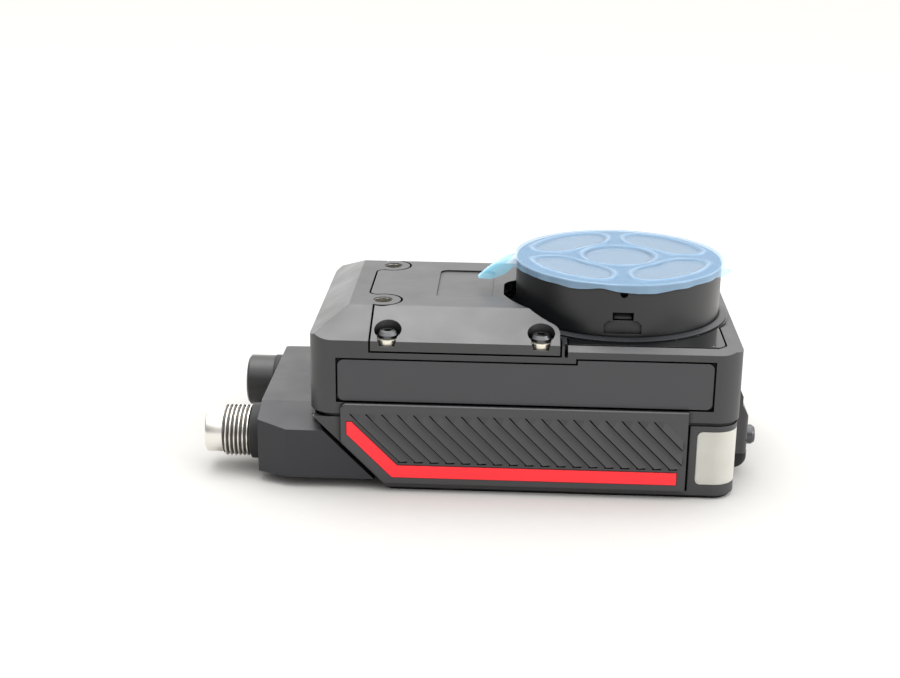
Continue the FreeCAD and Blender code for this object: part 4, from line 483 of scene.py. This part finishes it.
def lobe_distance(x, y):
    """Distance from a point to the nearest light window's edge, less than zero inside."""
    radius = math.hypot(x, y)
    across = max(LOBE_INNER - radius, radius - LOBE_OUTER) + LOBE_CORNER
    along = LOBE_GAP - min(abs(x), abs(y)) + LOBE_CORNER
    return min(max(across, along), 0.0) + math.hypot(max(across, 0.0), max(along, 0.0)) - LOBE_CORNER


def film_relief(x, y):
    """Height of the stuck film: it dips into the windows and stands up in a crest round them."""
    lobe = lobe_distance(x, y)
    window = math.hypot(x, y) - WINDOW_RADIUS
    dip = LOBE_DIP * smooth_step(DIP_START, LOBE_DIP_END, lobe)
    dip += WINDOW_DIP * smooth_step(DIP_START, WINDOW_DIP_END, window)
    crest = CREST_HEIGHT * (hump(lobe, LOBE_CREST, CREST_WIDTH) + hump(window, WINDOW_CREST, CREST_WIDTH))
    wave = WAVE_HEIGHT * abs(noise.noise(Vector((x * WAVE_RATE, y * WAVE_RATE, 3.0))))
    return crest - dip + wave


def film_tint(x, y):
    """Shares of dull inside, pale crest (a painted highlight) and dark outline of the film at a point, with
    the hanging edge painted lighter, and how far it is free.
    """
    lobe = lobe_distance(x, y)
    window = math.hypot(x, y) - WINDOW_RADIUS
    past_head = math.hypot(x, y) - head_radius / MM
    uneven = 0.75 + 0.5 * noise.noise(Vector((x * UNEVEN_RATE, y * UNEVEN_RATE, 7.0)))
    dull = max(smooth_step(0.0, LOBE_DULL, lobe), smooth_step(0.0, WINDOW_DULL, window))
    pale = max(hump(lobe, LOBE_PALE, PALE_WIDTH), hump(window, WINDOW_PALE, PALE_WIDTH)) * uneven
    outline = max(hump(lobe, LOBE_OUTLINE, OUTLINE_WIDTH), hump(window, WINDOW_OUTLINE, OUTLINE_WIDTH))
    hanging = smooth_step(HANGING_START, HANGING_END, past_head)
    return (DULL_SHARE * dull, max(PALE_SHARE * pale, HANGING_SHARE * hanging),
            OUTLINE_SHARE * outline * uneven, smooth_step(FREE_START, FREE_END, past_head))


def turned(degrees, centre):
    """Angle from a centre, between -180 and 180 degrees."""
    return (degrees - centre + 180) % 360 - 180


def skirt(degrees):
    """Length of the film past the head, how far it hangs from 0 flat to 1 down, and its share of tab."""
    front = smooth_step(FRONT_END, FRONT_FULL, abs(turned(degrees, FRONT_ANGLE)))
    length = BACK_LENGTH + FRONT_LENGTH * front
    length += sum(more * hump(degrees, angle, width) for angle, width, more in EDGE_WAVES)
    length += RAGGED_LENGTH * front * noise.noise(Vector((degrees * RAGGED_RATE, 0.0, 9.0)))
    hang = BACK_HANG + FRONT_HANG * front - LIFT * hump(degrees, LIFT_ANGLE, LIFT_WIDTH)
    point = max(1 - abs(turned(degrees, POINT_ANGLE)) / POINT_WIDTH, 0.0)
    tab = math.exp(-(turned(degrees, TAB_ANGLE) / TAB_WIDTH) ** 4)
    tab = min(tab + TAB_ROOT * hump(turned(degrees, TAB_ROOT_ANGLE), 0, TAB_ROOT_WIDTH), 1.0)
    hang = hang * (1 - tab) * (1 - POINT_FLAT * point) + TAB_HANG * tab
    return length + TAB_LENGTH * tab + POINT_LENGTH * point, hang, tab


def hanging_edge(degrees, share):
    """Distance from the axis and drop of the film's edge, at a share of the way from its rim to its end."""
    length, hang, tab = skirt(degrees)
    run = share * length
    fall = hang * FULL_FALL * min(share * 2, 1.0)
    crease = CREASE * math.sin(degrees * CREASE_RATE) + FOLD * hump(degrees, FOLD_ANGLE, FOLD_WIDTH)
    crease *= hang * share
    out = head_radius / MM - RIM_INSET + run * math.cos(fall) + crease
    nearest = head_radius / MM + STAND_OFF * min(share * 4, 1.0) + max(crease, 0.0)
    return max(out, nearest), run * math.sin(fall) + tab * TAB_DROP * share ** TAB_CURVE


def film_piece():
    """Round protective film with a drooping edge and a peel tab."""
    rings = [(ring, 0, 0) for ring in range(FLAT_STEPS + SKIRT_STEPS + 1)]
    form = spin_line(rings, (0, 0, 0), (0, 0, 1), FILM_TURN_STEPS, weld=0.0001)
    # Each point keeps its tint and its painted light.
    tint = form.verts.layers.float_color.new(FILM_TINT_AND_PAINTED_LIGHT)
    for vertex in form.verts:
        ring = math.hypot(vertex.co.x, vertex.co.y)
        angle = math.atan2(vertex.co.y, vertex.co.x)
        out = min(ring / FLAT_STEPS, 1.0) * (head_radius / MM - RIM_INSET)
        height = film_relief(out * math.cos(angle), out * math.sin(angle))
        if ring > FLAT_STEPS:
            out, drop = hanging_edge(math.degrees(angle), (ring - FLAT_STEPS) / SKIRT_STEPS)
            height -= drop
        x, y = out * math.cos(angle), out * math.sin(angle)
        vertex[tint] = film_tint(x, y)
        vertex.co = (head.x + x * MM, head.y + y * MM, film_top + (height - FILM_SINK) * MM)
    piece = finish_piece("protective_film_draped", form, film_blue, "camera", smooth_angle=80.0)
    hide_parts("protective_film")


# The rest of the power connector's shell, in millimetres.
THREAD_ROWS = 12
THREAD_CHAMFER = 0.5
THREAD_RUN_OUT = 0.3
THREAD_TURN_STEPS = 96
RIDGE_START, RIDGE_END = 0.08, 0.42
NOSE_RADIUS = 5.2
START_RADIUS = 5.4
START_STEP = 0.05
SOCKET_RADIUS = 4.3
STEM_RADIUS = 4.8
NECK_RADIUS = 5.0
RIM_PROFILE = ((0.4, 5.2), (0.1, 5.0), (0.0, 4.75), (0.0, 4.4), (0.1, 4.3))


def thread_radius(along, turn, thread_end, seat):
    """Radius of the thread at a place along its axis and a share of a turn round it."""
    phase = (along / THREAD_PITCH + turn) % 1.0
    ridge = smooth_step(RIDGE_START, RIDGE_END, min(phase, 1 - phase))
    lead = min((along - thread_end) / THREAD_CHAMFER, (seat - along) / THREAD_RUN_OUT, 1.0)
    limit = START_RADIUS + (THREAD_CREST - NOSE_RADIUS) * max(lead, 0.0)
    return min(THREAD_ROOT + (THREAD_CREST - THREAD_ROOT) * ridge, limit)


def threaded_shell():
    """Threaded shell of the power connector, with a plain nose."""
    tip, foot = power_low.x / MM, power_high.x / MM
    seat, root = washer_low.x / MM, washer_high.x / MM
    thread_end = seat - THREAD_LENGTH
    rows = int(THREAD_LENGTH * THREAD_ROWS)
    profile = [(foot, SOCKET_RADIUS), (foot, STEM_RADIUS), (root, STEM_RADIUS), (root, NECK_RADIUS),
               (seat, NECK_RADIUS), (seat, THREAD_ROOT)]
    profile += [(seat - THREAD_LENGTH * row / rows, THREAD_CREST) for row in range(1, rows)]
    profile += [(thread_end, START_RADIUS), (thread_end - START_STEP, NOSE_RADIUS)]
    profile += [(tip + along, radius) for along, radius in RIM_PROFILE]
    profile += [(foot, SOCKET_RADIUS)]
    origin = Vector((0, power_axis.y, power_axis.z))
    points = [origin + Vector((along, 0, radius)) * MM for along, radius in profile]
    form = spin_line(points, origin, (1, 0, 0), THREAD_TURN_STEPS, weld=0.001 * MM)
    for vertex in form.verts:
        around = Vector((0, vertex.co.y - origin.y, vertex.co.z - origin.z))
        radius = around.length / MM
        if radius > THREAD_CREST - 0.01:
            turn = math.atan2(around.z, around.y) / math.tau
            scale = thread_radius(vertex.co.x / MM, turn, thread_end, seat) / radius
            vertex.co.y = origin.y + around.y * scale
            vertex.co.z = origin.z + around.z * scale
    piece = finish_piece("power_connector_threaded_shell", form, nickel_thread, "swivel",
                         smooth_angle=35.0)
    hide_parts("power_connector_shell")


film_piece()
threaded_shell()


# ---------------------------------------------------------------- floor, light and camera

FLOOR_HALF = 6.0
FLOOR_GAP = 0.02

# The room's brightness by direction.
ROOM = 0.68
CEILING_LOW, CEILING_HIGH, CEILING = 0.3, 0.95, 2.2
SIDES = (("Y", 0.0, 1.0, 0.75), ("X", -0.35, -0.85, -0.45), ("X", 0.25, 0.85, 0.9))
GLOW_DIRECTION = (-0.35, 0.93, 0.08)
GLOW_START, GLOW = 0.95, 2.2

CAMERA_PLACE = Vector((-2.43, -351.09, 143.93)) * MM
CAMERA_YAW, CAMERA_PITCH, CAMERA_ROLL = (math.radians(angle) for angle in (-2.55, 18.42, 0.64))
CAMERA_LENS = 61.44
CAMERA_SENSOR = 36


def soft_light(name, place, target, size, power):
    """A soft studio panel aimed at a point."""
    lamp = bpy.data.lights.new(name, "AREA")
    lamp.shape = "RECTANGLE"
    lamp.size, lamp.size_y = size
    lamp.energy = power
    item = bpy.data.objects.new(name, lamp)
    item.location = place
    item.rotation_euler = (Vector(target) - Vector(place)).to_track_quat("-Z", "Y").to_euler()
    bpy.context.scene.collection.objects.link(item)


def floor():
    """Pale seamless floor that runs to the horizon."""
    form = bmesh.new()
    bmesh.ops.create_grid(form, x_segments=1, y_segments=1, size=FLOOR_HALF)
    mesh = bpy.data.meshes.new("studio_floor")
    form.to_mesh(mesh)
    form.free()
    material, tree, shader = new_material("white_paper", "#b0afad", roughness=0.8)
    shader.inputs["Specular IOR Level"].default_value = 0.1
    tree.links.new(blend(tree, grain(tree, size=4.0), "#afaeac", "#b2b1af"), shader.inputs["Base Color"])
    mesh.materials.append(material)
    item = bpy.data.objects.new("studio_floor", mesh)
    item.location.z = cad_low.z - FLOOR_GAP * MM
    bpy.context.scene.collection.objects.link(item)


def studio():
    """White room: bright ceiling, light wall behind, brighter right side, dim left side, glow behind left."""
    world = bpy.data.worlds.new("bright_studio")
    world.use_nodes = True
    tree = world.node_tree
    background = tree.nodes["Background"]
    background.inputs["Color"].default_value = linear("#fdfcfb")
    way = add(tree, "ShaderNodeTexCoord").outputs["Generated"]
    parts = add(tree, "ShaderNodeSeparateXYZ", {"Vector": way}).outputs
    toward = add(tree, "ShaderNodeVectorMath", {0: way, 1: GLOW_DIRECTION}, operation="DOT_PRODUCT")
    glow = spread(tree, toward.outputs["Value"], GLOW_START, 1.0, 0.0, GLOW)
    sides = [spread(tree, parts[axis], start, end, 0.0, strength) for axis, start, end, strength in SIDES]
    total = spread(tree, parts["Z"], CEILING_LOW, CEILING_HIGH, 0.0, CEILING, interpolation_type="SMOOTHSTEP")
    for more in (*sides, glow, ROOM):
        total = calculate(tree, "ADD", total, more)
    tree.links.new(total, background.inputs["Strength"])
    bpy.context.scene.world = world
    soft_light("top_panel", place=(-0.15, 0.1, 0.7), target=(0, 0, 0.02), size=(0.5, 0.4), power=2.2)
    soft_light("right_panel", place=(0.5, -0.2, 0.3), target=(0.05, 0, 0.03), size=(0.4, 0.4), power=1.2)
    bpy.context.scene.view_settings.view_transform = "Standard"


def place_camera():
    """Camera in front of the long side, a little above it."""
    level = math.cos(CAMERA_PITCH)
    forward = Vector((math.sin(CAMERA_YAW) * level, math.cos(CAMERA_YAW) * level, -math.sin(CAMERA_PITCH)))
    right = Vector((math.cos(CAMERA_YAW), -math.sin(CAMERA_YAW), 0))
    up = right.cross(forward)
    turned_right = right * math.cos(CAMERA_ROLL) + up * math.sin(CAMERA_ROLL)
    turned_up = up * math.cos(CAMERA_ROLL) - right * math.sin(CAMERA_ROLL)
    lens = bpy.data.cameras.new("camera")
    lens.sensor_width = CAMERA_SENSOR
    lens.lens = CAMERA_LENS
    lens.clip_start = 0.01
    item = bpy.data.objects.new("camera", lens)
    axes = Matrix((turned_right, turned_up, -forward)).transposed().to_4x4()
    item.matrix_world = Matrix.Translation(CAMERA_PLACE) @ axes
    bpy.context.scene.collection.objects.link(item)
    bpy.context.scene.camera = item


floor()
studio()
place_camera()
